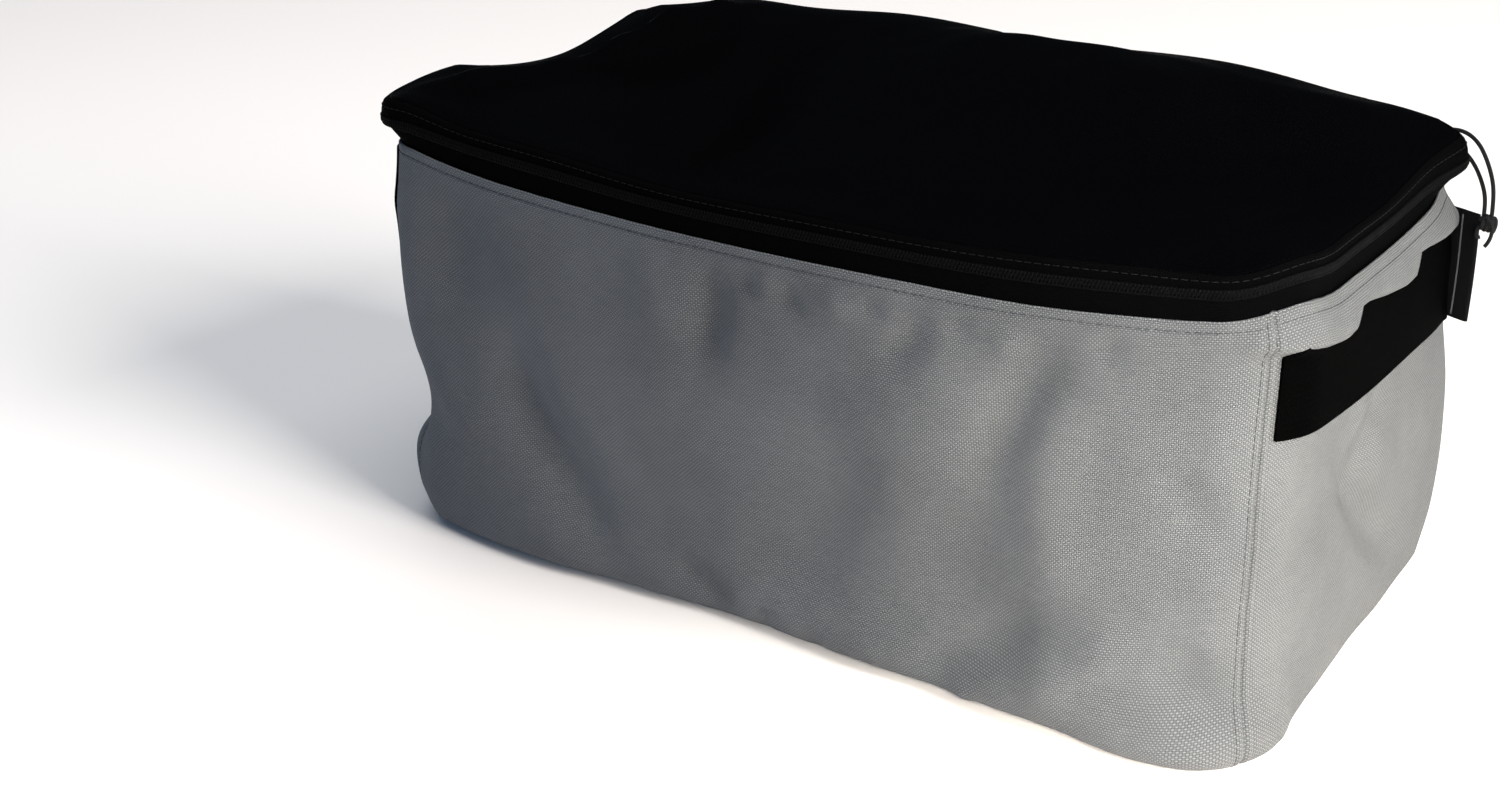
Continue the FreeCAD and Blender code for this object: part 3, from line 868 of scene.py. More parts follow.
def build_hinge(material):
    """The black strip across the back that the lid hinges on."""
    overlap = 1 * MM
    first = spaced(ZIP_LAST - overlap, AROUND, 4 * MM)
    last = spaced(0, ZIP_END + overlap, 4 * MM)[1:]
    along = np.concatenate([first, last + AROUND])
    s, r = np.meshgrid(along, np.linspace(TAPE_FOOT, BAND + 0.5 * MM, 22), indexing="ij")
    points = band_points(np.where(s > AROUND, s - AROUND, s), r, TAPE_INSET)
    made = turned_grid("hinge_cloth", points, s, r, material)
    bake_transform(made)
    thicken(made, 0.7 * FABRIC)
    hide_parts("hinge_gusset")


# ---- the lid ---------------------------------------------------------------------------

LID_SWELLINGS = (
    (-60, 60, 60, 60, -6),
    (-85, -40, 40, 70, -9),
    (90, 60, 140, 50, 5),
    (120, -60, 110, 50, 2),
    (-205, 30, 30, 60, -4),
    (-10, 95, 150, 30, 4),
    (60, -90, 50, 24, -3),
    (-230, -92, 12, 14, 4),
    (210, -112, 46, 12, 3),
)
LID_CREASES = (
    (((-232, -98), (-215, -75), (-200, -40), (-187, -6), (-180, 16)), 11, 7.5),
    (((-188, -12), (-176, 26), (-165, 58), (-160, 78)), 11, 12.5),
    (((-174, 32), (-164, 62), (-160, 94)), 13, 7),
    (((-160, 74), (-166, 104), (-162, 114)), 8, 3.5),
    (((-160, 76), (-148, 98), (-134, 108)), 8, 3),
    (((-104, 112), (-104, 60), (-92, 0), (-80, -60), (-60, -128)), 26, -8),
    (((-140, 90), (-140, 30), (-150, -40)), 14, -4),
    (((244, -96), (222, -110), (198, -122)), 7, 3.5),
    (((60, -124), (90, -60), (160, -10), (226, 30)), 26, -3),
    (((-20, 110), (10, 40), (20, -40)), 22, 2.5),
    (((120, 112), (150, 60), (226, 20)), 18, -2.5),
    (((-30, -126), (-10, -90), (30, -60)), 12, 2.5),
    (((150, -120), (130, -90), (90, -70)), 12, 2.2),
)

# Section of the lid's turned edge: rise above the band's top, and inset from the tapes, in millimetres.
LID_EDGE = ((-3.0, 1.1), (-1.0, 1.5), (-0.2, 2.3), (0.9, 3.0), (1.7, 4.2), (1.9, 6.0))
LID_EDGE_STEP = 3.5 * MM
LID_STEP = 4 * MM
LID_CROWN = 1.2 * MM
LID_CROWN_REACH = 4 * MM
LID_FOLD_REACH = 26 * MM  # distance from its edge over which its folds grow to their full height


def lid_height(x, y, ring):
    """Height of the lid's cloth: spread in from its edge, then folded."""
    total = np.zeros(len(x))
    weight = np.zeros(len(x))
    nearest = np.full(len(x), 1e9)
    for px, py, pz in ring:
        away = np.hypot(x - px, y - py)
        nearest = np.minimum(nearest, away)
        w = 1 / (away**3 + 1e-9)
        total += w * pz
        weight += w
    u, v = x / MM, y / MM
    folds = ripples(u, v, 21, 110, 1.2) + ripples(u, v, 22, 40, 0.35)
    folds += folded(u, v, LID_SWELLINGS, LID_CREASES)
    crown = LID_CROWN * (1 - np.exp(-nearest / LID_CROWN_REACH))
    return total / weight + folds * ease(nearest / LID_FOLD_REACH) * MM + crown


def build_lid(cloth, lining):
    """The lid: one panel whose turned edge is sewn just inside the upper tape's rolled edge."""
    along = np.arange(0, AROUND, LID_EDGE_STEP)
    rows = [band_line(along, BAND + rise * MM, TAPE_INSET + inset * MM) for rise, inset in LID_EDGE]
    ring = rows[-1]
    points, faces = fill_ring(ring[:, :2], ring[:, 2], LID_STEP, lambda x, y: lid_height(x, y, ring))
    count = len(along)
    skirt = np.concatenate(rows[:-1])
    skirt_faces = grid_faces(len(rows) - 1, count, True)
    order = len(skirt) + ring_order(points, ring)
    last = (len(rows) - 2) * count
    for j in range(count):
        k = (j + 1) % count
        skirt_faces.append((last + j, last + k, order[k], order[j]))
    every = np.concatenate([skirt, points])
    all_faces = skirt_faces + [tuple(i + len(skirt) for i in face) for face in faces]
    made = new_object("lid_cloth", every, all_faces, cloth)
    add_uv(made, every[:, :2])
    turn_upward(made)
    thicken(made, 0.8 * FABRIC, lining)
    attach(made, "lid", "lid_panel")


def ring_order(points, ring):
    """Index in points of each ring point."""
    return np.array([np.argmin(((points - place) ** 2).sum(1)) for place in ring])


def turn_upward(made):
    """Turns a sheet's faces so that its top looks up."""
    work = bmesh.new()
    work.from_mesh(made.data)
    bmesh.ops.recalc_face_normals(work, faces=work.faces)
    if sum(face.normal.z * face.calc_area() for face in work.faces) < 0:
        bmesh.ops.reverse_faces(work, faces=work.faces)
    work.to_mesh(made.data)
    work.free()


# ---- bindings inside the seams ---------------------------------------------------------

# Each section is a place across the binding and its distance in from the cloth, in millimetres.
LID_BINDING = ((-5.5, 1.0), (-3.2, 1.2), (-1.2, 3.2))
CORNER_BINDING = ((-6, 1.7), (-3, 1.9), (-1, 3.2), (0, 4.6), (1, 3.2), (3, 1.9), (6, 1.7))
BASE_BINDING = ((-9, 1.7), (-6, 2.3), (0, 3.2), (5, 3.8), (9, 3.4), (10, 2.6))
LID_BINDING_CLOTH = 0.8 * MM
BINDING_CLOTH = 0.6 * MM
BINDING_STEP = 4 * MM


def section_sides(section):
    """The places across a section and its distances in, each in metres."""
    return np.array(section).T * MM


def build_lid_binding(material):
    """The binding tape round the inside of the lid's seam."""
    along = spaced(ZIP_END, ZIP_LAST, BINDING_STEP)
    across, inset = section_sides(LID_BINDING)
    s, r = np.meshgrid(along, BAND + across, indexing="ij")
    points = band_points(s, r, TAPE_INSET + inset)
    made = grid_object("lid_binding", points, np.stack([s, r], -1), material)
    thicken(made, LID_BINDING_CLOTH, None, 1)
    attach(made, "lid", "lid_seam_binding")


def build_corner_bindings(material):
    """A binding folded over each corner seam's allowance, inside the wall."""
    across, inset = section_sides(CORNER_BINDING)
    for corner, seam in (
        ("front_left", SEAM_FRONT_LEFT),
        ("front_right", SEAM_FRONT_RIGHT),
        ("rear_left", SEAM_REAR_LEFT),
        ("rear_right", SEAM_REAR_RIGHT),
    ):
        s, d = np.meshgrid(seam + across, np.linspace(12 * MM, RIM - 14 * MM, 60), indexing="ij")
        points = wall_points(s, d, -inset[:, None])
        made = grid_object("binding_" + corner, points, np.stack([s, -d], -1), material)
        thicken(made, BINDING_CLOTH)
        attach(made, "box", corner + "_seam_binding")


def build_base_binding(material):
    """The binding round the base seam, a soft raised strip inside the floor's edge."""
    across, inset = section_sides(BASE_BINDING)
    s, d = np.meshgrid(np.arange(0, AROUND, BINDING_STEP), BASE_SEAM + across, indexing="ij")
    points = wall_points(s, d)
    points = points - surface_normals(points) * inset[None, :, None]
    uv = np.stack([s, -d], -1)
    end_uv = uv[:1].copy()
    end_uv[..., 0] = AROUND
    closed = np.concatenate([points, points[:1]])
    made = grid_object("base_binding", closed, np.concatenate([uv, end_uv]), material)
    thicken(made, BINDING_CLOTH)
    attach(made, "box", "base_seam_binding")


def surface_normals(points):
    """Outward normals of a closed wall grid indexed by distance along, then depth."""
    along = np.roll(points, -1, 0) - np.roll(points, 1, 0)
    normal = np.cross(np.gradient(points, axis=1), along)
    return normal / np.maximum(np.linalg.norm(normal, axis=-1, keepdims=True), 1e-12)


# ---- stitching -------------------------------------------------------------------------

STITCH = 3.1 * MM
STITCH_GAP = 1.1 * MM
STITCH_SIDES = 6
WALL_THREAD = 0.27 * MM
LID_THREAD = 0.24 * MM
LID_ROW = BAND - 3.2 * MM
SINK = -0.12 * MM  # how deep a stitch lies in the wall's cloth


def stitch_line(route, outward, shape):
    """Stitches laid along a route of points, each as one part."""
    total = lengths_along(route)
    parts = []
    for start in np.arange(1 * MM, total[-1] - STITCH, STITCH + STITCH_GAP):
        ends = [np.array([np.interp(start + x, total, route[:, i]) for i in range(3)]) for x in (0, STITCH)]
        up = np.array([np.interp(start + STITCH / 2, total, outward[:, i]) for i in range(3)])
        parts.append(placed(shape, (ends[0] + ends[1]) / 2, ends[1] - ends[0], up))
    return parts


def wall_stitches(along, depth, shape):
    """Stitches along a route on the wall."""
    here = wall_points(along, depth, SINK)
    out = wall_points(along, depth, SINK + 2 * MM) - here
    return stitch_line(here, out / np.linalg.norm(out, axis=1, keepdims=True), shape)


def build_wall_stitches(material):
    """The rows beside the rim and the corner seams."""
    shape = capsule(STITCH, WALL_THREAD, STITCH_SIDES)
    margin = 2 * MM
    ends = (SEAM_REAR_LEFT, SEAM_FRONT_LEFT, SEAM_FRONT_RIGHT, SEAM_REAR_RIGHT, AROUND)
    parts = []
    for start, finish in (*zip(ends, ends[1:]), (0, SEAM_REAR_LEFT)):
        along = np.arange(start + margin, finish - margin, 1 * MM)
        parts += wall_stitches(along, np.full_like(along, HEM), shape)
    depth = np.arange(margin, wall_depths()[-1] - 14 * MM, 1 * MM)
    for seam, side in (
        (SEAM_FRONT_RIGHT, -1),
        (SEAM_FRONT_LEFT, 1),
        (SEAM_REAR_RIGHT, 1),
        (SEAM_REAR_LEFT, -1),
    ):
        parts += wall_stitches(np.full_like(depth, seam + side * SEAM_ROW), depth, shape)
    attach(new_object("wall_stitches", *merged(parts), material), "box")


def build_lid_stitches(material):
    """The row that holds the upper tape to the lid."""
    along = np.arange(ZIP_END, ZIP_LAST, 2 * MM)
    here = band_line(along, LID_ROW, TAPE_INSET - 0.15 * MM)
    out = band_line(along, LID_ROW, TAPE_INSET - 2 * MM) - here
    parts = stitch_line(here, out, capsule(STITCH, LID_THREAD, STITCH_SIDES))
    attach(new_object("lid_stitches", *merged(parts), material), "lid")


# ---- handles ---------------------------------------------------------------------------

STRAP = 1.7 * MM
STRAP_REACH = (STRAP_HIGH.z - STRAP_LOW.z) / 2
STRAP_MIDDLE = (STRAP_LOW.z + STRAP_HIGH.z) / 2 + 1.6 * MM
STRAP_SQUASH = 0.93  # its height as seen from the side, since it leans
STRAP_SLOPE = 18 * MM  # from its front end to its rear end
STRAP_CROWN = 3.0 * MM
STRAP_TUCK = 12 * MM  # how far its top front corner is folded under
STRAP_TUCK_END = 0.075  # share of its length at which the fold ends
STRAP_BOW = 6.8 * MM
STRAP_SEWN = 0.14  # share of its length, at each end, that eases off the wall
STRAP_EDGE = 0.6 * MM


def strap_point(side, u, w):
    """Points on a handle: u from 0 at the front seam to 1 at the rear, w across, in metres."""
    start, finish = (SEAM_FRONT_RIGHT, SEAM_REAR_RIGHT) if side > 0 else (SEAM_FRONT_LEFT, SEAM_REAR_LEFT)
    along = start + (finish - start) * u
    from_end = np.minimum(u, 1 - u)
    z = STRAP_MIDDLE + STRAP_SLOPE * (0.5 - u) + w * STRAP_SQUASH + STRAP_CROWN * arch(2 * u - 1)
    z = z - STRAP_TUCK * unit(1 - u / STRAP_TUCK_END) * unit(w / STRAP_REACH)
    plan, normal = plan_at(along, unit(z / RIM))
    bow = arch(2 * u - 1) ** 0.8
    tilt = 0.62 - 0.38 * w / STRAP_REACH
    out = 0.7 * MM + STRAP_BOW * bow * tilt + 0.5 * MM * np.sin(u * 9 + w / MM * 0.05) * bow
    tucked = 0.5 * MM - hill(from_end, 0, 0.012, 1.4 * MM)
    sewn = wall_points(along, rim_level(along) - z, tucked)[..., :2]
    xy = sewn + (plan + normal * out[..., None] - sewn) * ease(from_end / STRAP_SEWN)[..., None]
    return np.concatenate([xy, z[..., None]], -1)


def build_handle(name, node, side, material):
    """One webbing handle, sewn flat at both ends and bowed between."""
    inner_edge = STRAP_REACH - STRAP_EDGE
    across = np.concatenate([[-STRAP_REACH], np.linspace(-inner_edge, inner_edge, 21), [STRAP_REACH]])
    front, middle, rear = (0.022, 0.06, 14), (0.075, 0.925, 70), (0.94, 0.995, 14)
    along = np.concatenate([np.linspace(*stretch) for stretch in (front, middle, rear)])
    u, w = np.meshgrid(along, across, indexing="ij")
    points = strap_point(side, u, w)
    uv = np.stack([u * HALF_WIDTH * 2, w], -1)
    if side > 0:
        points, uv = points[:, ::-1], uv[:, ::-1]
    made = grid_object(name, points, uv, material)
    thicken(made, STRAP, None, 1)
    rounded = made.modifiers.new("edge", "BEVEL")
    rounded.width = 0.35 * MM
    rounded.segments = 2
    attach(made, "box", node)


# ---- label -----------------------------------------------------------------------------

LABEL_TURN = math.radians(-30)
LABEL_WIDTH = 17 * MM
LABEL_ROOT = np.array([LABEL_LOW.x - 1.6 * MM, LABEL_HIGH.y - 0.5 * MM])
LABEL_FOOT = LABEL_LOW.z - 2 * MM
LABEL_HEAD = LABEL_HIGH.z - 3 * MM
LABEL_GAP = 0.9 * MM  # half the gap between its two layers
LABEL_CLOTH = 0.45 * MM
LABEL_LINE = 0.42 * MM
LABEL_CURL = 1.5 * MM
LAYER_POINTS = 16


def build_label(cloth, thread):
    """A folded tape sewn into the rear right seam: two layers joined by a round fold."""
    way = np.array([math.cos(LABEL_TURN), math.sin(LABEL_TURN)])
    out = np.array([-way[1], way[0]])
    flat = LABEL_WIDTH - LABEL_GAP
    layer = np.linspace(0, flat, LAYER_POINTS)
    bend = np.linspace(-math.pi / 2, math.pi / 2, 9)[1:-1]
    run = np.concatenate([layer, flat + LABEL_GAP * np.cos(bend), layer[::-1]])
    gaps = np.full(LAYER_POINTS, LABEL_GAP)
    off = np.concatenate([-gaps, LABEL_GAP * np.sin(bend), gaps])
    pinch = np.clip(run / (6 * MM), 0.35, 1)
    curl = LABEL_CURL * (run / LABEL_WIDTH) ** 2
    height = np.linspace(LABEL_FOOT, LABEL_HEAD, 34)
    r, z = np.meshgrid(run, height, indexing="ij")
    sway = 0.5 * MM * np.sin((z - LABEL_LOW.z) / (LABEL_HIGH.z - LABEL_LOW.z) * 4)
    side = (off * pinch + curl)[:, None] + sway
    xy = LABEL_ROOT + r[..., None] * way + side[..., None] * out
    points = np.concatenate([xy, z[..., None]], -1)
    walked = lengths_along(np.stack([run, off], 1))
    uv = np.stack(np.meshgrid(walked, height, indexing="ij"), -1)
    made = grid_object("label_tape", points, uv, cloth)
    thicken(made, LABEL_CLOTH, None, 0)
    attach(made, "label", "side_label")
    edge = points[LAYER_POINTS // 2, 1:-1] - np.append(out, 0) * LABEL_CLOTH
    line = new_object("label_line", *tube(edge, LABEL_LINE, 8), thread)
    attach(line, "label")


# ---- slider pull -----------------------------------------------------------------------

UPPER_ROUTE = (
    (218.8, 123.2, 225.2), (229, 126.5, 228.5), (240, 127, 231.5), (251.5, 119.5, 229),
    (260.5, 111.5, 219), (265.5, 105.5, 208.5), (266.3, 101.8, 197.5),
)
LOWER_ROUTE = (
    (218.8, 123.2, 222.8), (229, 125.6, 223.4), (240, 124.6, 224.4), (250.5, 117.5, 219.5),
    (258, 110, 212), (262.2, 104.5, 204.5), (262.6, 101.6, 197),
)
UPPER_LENGTH = 0.0759
LOWER_LENGTH = 0.0657


def cord_curve(name, route, material, node):
    """A round cord along a smooth route, in millimetres."""
    curve = bpy.data.curves.new(name, "CURVE")
    curve.dimensions = "3D"
    curve.bevel_depth = CORD / 2
    curve.bevel_resolution = 4
    curve.resolution_u = 16
    curve.use_fill_caps = True
    spline = curve.splines.new("NURBS")
    spline.points.add(len(route) - 1)
    for point, place in zip(spline.points, route):
        point.co = (*[value * MM for value in place], 1)
    spline.order_u = 3
    spline.use_endpoint_u = True
    curve.materials.append(material)
    made = bpy.data.objects.new(name, curve)
    bpy.context.scene.collection.objects.link(made)
    return attach(made, "pull", node)


# The knot's strands, in millimetres across, up and forward from its middle.
KNOT_OVER = ((-4.2, 0.4, 1.2), (-2.6, 2.8, 3.0), (0, 1.2, 4.9), (2.6, -2.2, 3.2), (4.0, -1.8, 0.6))
KNOT_CORE = ((-3.6, 0, 0), (0, 0.2, 0), (3.6, 0, 0))
KNOT_TAIL = ((2.4, -1, 0.5), (3.6, -4.4, 1.0), (3.9, -8, 0.6), (3.2, -11.4, 0.2))
KNOT_CURL = ((-2.2, -1, 0.4), (-3.6, -4.2, 0.8), (-2.8, -7, 0.5), (-0.9, -7.2, 0.6))
KNOT_LENGTH = 6.8 * MM
KNOT_TURNS = 3.4


def build_knot(material):
    """A barrel knot: tight turns round both cords, a crossing strand and two short tails."""
    centre = np.array((KNOT_LOW + KNOT_HIGH) / 2)
    centre[2] = KNOT_HIGH.z - 4.6 * MM
    across = np.array([0.82, 0.5, -0.28])
    across /= np.linalg.norm(across)
    upright = np.cross(np.cross(across, (0, 0, 1)), across)
    upright /= np.linalg.norm(upright)
    axes = np.stack([across, upright, np.cross(across, upright)])
    t = np.linspace(0, 1, 110)
    turn = TAU * KNOT_TURNS * t + 0.6
    girth = (3.3 - 0.7 * (2 * t - 1) ** 2) * MM
    coil = np.stack([KNOT_LENGTH * (t - 0.5), girth * np.cos(turn), girth * np.sin(turn)], 1)
    parts = [tube(centre + coil @ axes, 0.56 * CORD)]
    for route, count, thick in (
        (KNOT_OVER, 26, 0.5),
        (KNOT_TAIL, 26, 0.47),
        (KNOT_CURL, 26, 0.47),
        (KNOT_CORE, 9, 1.25),
    ):
        parts.append(tube(centre + smooth_route(np.array(route) * MM, count) @ axes, thick * CORD))
    return attach(new_object("knot", *merged(parts), material), "pull", "pull_cord_knot")


def smooth_route(points, count):
    """A smooth curve through a few points."""
    spots = np.linspace(0, 1, len(points))
    fine = np.linspace(0, 1, count)
    fit = [np.polyval(np.polyfit(spots, points[:, i], len(points) - 1), fine) for i in range(3)]
    return np.stack(fit, 1)


def build_cords(material):
    """The doubled pull cord and the knot that joins its ends."""
    knot = build_knot(material)
    upper = cord_curve("cord_upper", UPPER_ROUTE, material, "pull_cord_upper")
    lower = cord_curve("cord_lower", LOWER_ROUTE, material, "pull_cord_lower")
    for cord, route, length in ((upper, UPPER_ROUTE, UPPER_LENGTH), (lower, LOWER_ROUTE, LOWER_LENGTH)):
        start = [value * MM for value in route[0]]
    build_bight(material)


def build_bight(material):
    """The short turn of cord round the link's far bar, between its two legs."""
    x, y, high = np.array(UPPER_ROUTE[0]) * MM
    low = LOWER_ROUTE[0][2] * MM
    t = np.linspace(0, math.pi, 13)
    z = (high + low) / 2 + (high - low) / 2 * np.cos(t)
    route = np.stack([x - 1.6 * MM * np.sin(t), np.full(len(t), y), z], 1)
    attach(new_object("cord_bight", *tube(route, CORD / 2), material), "pull")


# ---- materials -------------------------------------------------------------------------

# Each pair runs from the gaps between yarns to their crowns, as linear red, green and blue; in the woven,
# ribbed and braided cloths the dark gap colour is painted shade between the yarns.
GREY_WEAVE = ((0.009, 0.0115, 0.0165), (0.185, 0.187, 0.184))
GREY_LINING = ((0.06, 0.062, 0.065), (0.11, 0.112, 0.115))
GREY_THREAD = ((0.016, 0.018, 0.022), (0.07, 0.071, 0.074))
BLACK_WEAVE = ((0.0002, 0.0002, 0.0003), (0.0010, 0.0010, 0.0014))
BLACK_LINING = ((0.006, 0.006, 0.007), (0.014, 0.014, 0.015))
BLACK_THREAD = ((0.0005, 0.0005, 0.0006), (0.003, 0.003, 0.0035))
BASE_WEAVE = ((0.03, 0.03, 0.033), (0.09, 0.09, 0.095))
ZIP_TAPE = ((0.0001, 0.0001, 0.0002), (0.0022, 0.0022, 0.0024))
ZIP_COIL = ((0.0006, 0.0006, 0.0008), (0.0018, 0.0018, 0.002))
BINDING_TAPE = ((0.008, 0.008, 0.009), (0.03, 0.03, 0.032))
WEBBING = ((0.0001, 0.0001, 0.0001), (0.0009, 0.0009, 0.0009))
LABEL_TAPE = ((0.001, 0.001, 0.0012), (0.007, 0.007, 0.008))
BLACK_CORD = ((0.001, 0.001, 0.0012), (0.010, 0.010, 0.011))
DARK_METAL = ((0.03, 0.03, 0.032), (0.07, 0.07, 0.075))

SHEEN_ROUGHNESS = 0.45
YARN = 0.96 * MM
BRAID_PITCH = 0.9 * MM
RIB_SPECULAR = 0.005


class Signal:
    """A number that varies over a surface: a node's output. Arithmetic on it adds Math nodes."""

    def __init__(self, tree, socket):
        self.tree = tree
        self.socket = socket

    def math(self, operation, *others):
        """The output of a Math node fed with this and some other values."""
        node = self.tree.nodes.new("ShaderNodeMath")
        node.operation = operation
        for place, value in zip(node.inputs, (self, *others)):
            feed(self.tree, place, value)
        return Signal(self.tree, node.outputs[0])

    def __add__(self, other):
        return self.math("ADD", other)

    def __sub__(self, other):
        return self.math("SUBTRACT", other)

    def __mul__(self, other):
        return self.math("MULTIPLY", other)

    def __truediv__(self, other):
        return self.math("DIVIDE", other)

    def held(self):
        """This value held between 0 and 1."""
        return self.math("MAXIMUM", 0.0).math("MINIMUM", 1.0)

    def yarns(self):
        """A row of round yarns, from 0 to 1, one for each whole number of this value."""
        return (self * math.pi).math("SINE").math("ABSOLUTE")


def feed(tree, socket, value):
    """Connects a socket to a signal, or sets it to a value."""
    if isinstance(value, Signal):
        tree.links.new(value.socket, socket)
    else:
        socket.default_value = value


def new_shader(name, roughness, sheen=0.0, metallic=0.0, specular=0.5):
    """A material, its node tree and its Principled shader."""
    material = bpy.data.materials.new(name)
    material.use_nodes = True
    tree = material.node_tree
    shader = tree.nodes["Principled BSDF"]
    shader.inputs["Roughness"].default_value = roughness
    shader.inputs["Metallic"].default_value = metallic
    shader.inputs["Specular IOR Level"].default_value = specular
    shader.inputs["Sheen Weight"].default_value = sheen
    shader.inputs["Sheen Roughness"].default_value = SHEEN_ROUGHNESS
    return material, tree, shader


def cloud(place, scale, detail=3.0, roughness=0.55):
    """The output of a Noise node, from 0 to 1."""
    node = place.tree.nodes.new("ShaderNodeTexNoise")
    node.inputs["Scale"].default_value = scale
    node.inputs["Detail"].default_value = detail
    node.inputs["Roughness"].default_value = roughness
    feed(place.tree, node.inputs["Vector"], place)
    return Signal(place.tree, node.outputs["Fac"])


def stretched(place, scale):
    """A place scaled differently along each direction."""
    node = place.tree.nodes.new("ShaderNodeMapping")
    node.inputs["Scale"].default_value = scale
    feed(place.tree, node.inputs["Vector"], place)
    return Signal(place.tree, node.outputs[0])


def paint(tree, shader, tone, colours):
    """Colours a shader from a pair of colours by a tone from 0 to 1."""
    dark, light = colours
    node = tree.nodes.new("ShaderNodeMix")
    node.data_type = "RGBA"
    first, second = [socket for socket in node.inputs if socket.type == "RGBA"]
    feed(tree, node.inputs[0], tone)
    first.default_value = (*dark, 1)
    second.default_value = (*light, 1)
    result = next(socket for socket in node.outputs if socket.type == "RGBA")
    tree.links.new(result, shader.inputs["Base Color"])


def surface_bump(tree, shader, height, distance):
    """Bumps a shader by a height that runs from 0 to 1."""
    node = tree.nodes.new("ShaderNodeBump")
    node.inputs["Strength"].default_value = 1.0
    node.inputs["Distance"].default_value = distance
    feed(tree, node.inputs["Height"], height)
    tree.links.new(node.outputs["Normal"], shader.inputs["Normal"])


def object_place(tree):
    """The position of a point on its object."""
    return Signal(tree, tree.nodes.new("ShaderNodeTexCoord").outputs["Object"])


def split_axes(place):
    """The separate directions of a place."""
    node = place.tree.nodes.new("ShaderNodeSeparateXYZ")
    feed(place.tree, node.inputs[0], place)
    return [Signal(place.tree, socket) for socket in node.outputs]


def cloth_place(tree):
    """A point's place on its cloth, in metres along the cloth's own two directions."""
    node = tree.nodes.new("ShaderNodeUVMap")
    node.uv_map = "cloth"
    return Signal(tree, node.outputs[0])


def plain_weave(u, v, pitch):
    """Height of a plain weave, from 0 to 1: yarns round in section, over and under by turns."""
    a = u / pitch
    b = v / pitch
    across = a.yarns()
    upright = b.yarns()
    turn = (a.math("FLOOR") + b.math("FLOOR")).math("FLOORED_MODULO", 2.0)
    warp = across * (upright * 0.45 + 0.55)
    weft = upright * (across * 0.45 + 0.55)
    return warp * 0.5 * (turn * -1.0 + 1.0) + weft * turn


def make_weave(name, colours, pitch, relief, roughness=0.85, sheen=0.1, cloudiness=0.4, specular=0.2):
    """Woven cloth: yarns in two directions, uneven yarn by yarn, with cloudy wear."""
    material, tree, shader = new_shader(name, roughness, sheen, 0.0, specular)
    uv = cloth_place(tree)
    u, v, _ = split_axes(uv)
    wander = (cloud(uv, 60, 2) - 0.5) * (pitch * 1.2)
    weave = plain_weave(u + wander, v - wander, pitch)
    fuzz = cloud(uv, 1 / (pitch * 0.45), 3, 0.7)
    yarn = cloud(stretched(uv, (1 / (pitch * 14), 1 / (pitch * 1.1), 1)), 1.0, 2, 0.6)
    wear = cloud(object_place(tree), 14, 4, 0.6) - 0.5
    # The tone follows the weave's height, so the gaps between yarns are painted darker: painted shade. The
    # yarn streaks and cloudy wear are the cloth's own uneven tone.
    tone = weave * 0.85 + yarn * 0.2 + wear * cloudiness + (fuzz - 0.5) * 0.35
    paint(tree, shader, tone.held(), colours)
    feed(tree, shader.inputs["Roughness"], wear * 0.18 + roughness)
    surface_bump(tree, shader, weave + fuzz * 0.5 + yarn * 0.4, relief)
    return material


def make_ribbed(name, colours, rib, relief):
    """Narrow woven tape: ribs across it, herringbone warp yarns along it and fuzz over both."""
    material, tree, shader = new_shader(name, 0.8, 0.0, 0.0, RIB_SPECULAR)
    uv = cloth_place(tree)
    u, v, _ = split_axes(uv)
    slant = v.math("PINGPONG", rib * 1.1)
    ribs = ((slant * 0.55 + u) / rib).yarns()
    warp = (v / (rib * 0.55)).yarns()
    fuzz = cloud(uv, 1 / (rib * 0.3), 3, 0.7)
    wear = cloud(object_place(tree), 40, 3, 0.6) - 0.5
    # The tone follows the ribs' height, so the grooves between them are painted darker: painted shade.
    tone = ribs * 0.5 + fuzz * 0.35 + wear * 0.5
    paint(tree, shader, tone.held(), colours)
    surface_bump(tree, shader, ribs + warp * 0.45 + fuzz * 0.4, relief)
    return material


def make_plain(name, colours, grain, relief, roughness, metallic=0.0, specular=0.15):
    """A fine-grained solid material, for lining, thread, coil and metal."""
    material, tree, shader = new_shader(name, roughness, 0.0, metallic, specular)
    place = object_place(tree)
    fine = cloud(place, grain, 4, 0.6)
    broad = cloud(place, grain / 12, 2)
    paint(tree, shader, fine * 0.7 + broad * 0.3, colours)
    feed(tree, shader.inputs["Roughness"], (broad - 0.5) * 0.3 + roughness)
    surface_bump(tree, shader, fine, relief)
    return material


def make_braid(name, colours):
    """Round braided cord: strands crossing in two slants, from its place in space."""
    material, tree, shader = new_shader(name, 0.75, 0.0, 0.0, 0.15)
    place = object_place(tree)
    x, y, z = split_axes(place)
    flat = x + y
    braid = ((z + flat) / BRAID_PITCH).yarns() * ((z - flat) / BRAID_PITCH).yarns()
    fuzz = cloud(place, 2600, 3, 0.7)
    # The tone follows the braid's height, so the dips between strands are painted darker: painted shade.
    paint(tree, shader, (braid * 0.6 + fuzz * 0.5).held(), colours)
    surface_bump(tree, shader, braid + fuzz * 0.5, 0.25 * MM)
    return material


def finish_metal(material):
    """Gives the slider and its link, which keep their CAD shape, softened edges and a dark finish."""
    for node, width in (("slider_body", 0.5 * MM), ("pull_link", 0.3 * MM)):
        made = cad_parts[node]
        made.data.materials.clear()
        made.data.materials.append(material)
        bevel = made.modifiers.new("edges", "BEVEL")
        bevel.width = width
        bevel.segments = 3
        bevel.limit_method = "ANGLE"
        bevel.harden_normals = False


# ---- stage -----------------------------------------------------------------------------

CAMERA_PLACE = (0.5079, -0.9377, 0.5501)
CAMERA_YAW = math.radians(32.38)
CAMERA_PITCH = math.radians(23.87)
CAMERA_ROLL = math.radians(-0.40)
CAMERA_LENS = 53.76
FLOOR_REACH = 6
FLOOR_DROP = 0.4 * MM  # keeps the floor just clear of the bag's lowest faces
FLOOR_COLOUR = (0.955, 0.88, 0.83, 1)
SKY_COLOUR = (0.78, 0.89, 1.0, 1)
SKY_STRENGTH = 0.12

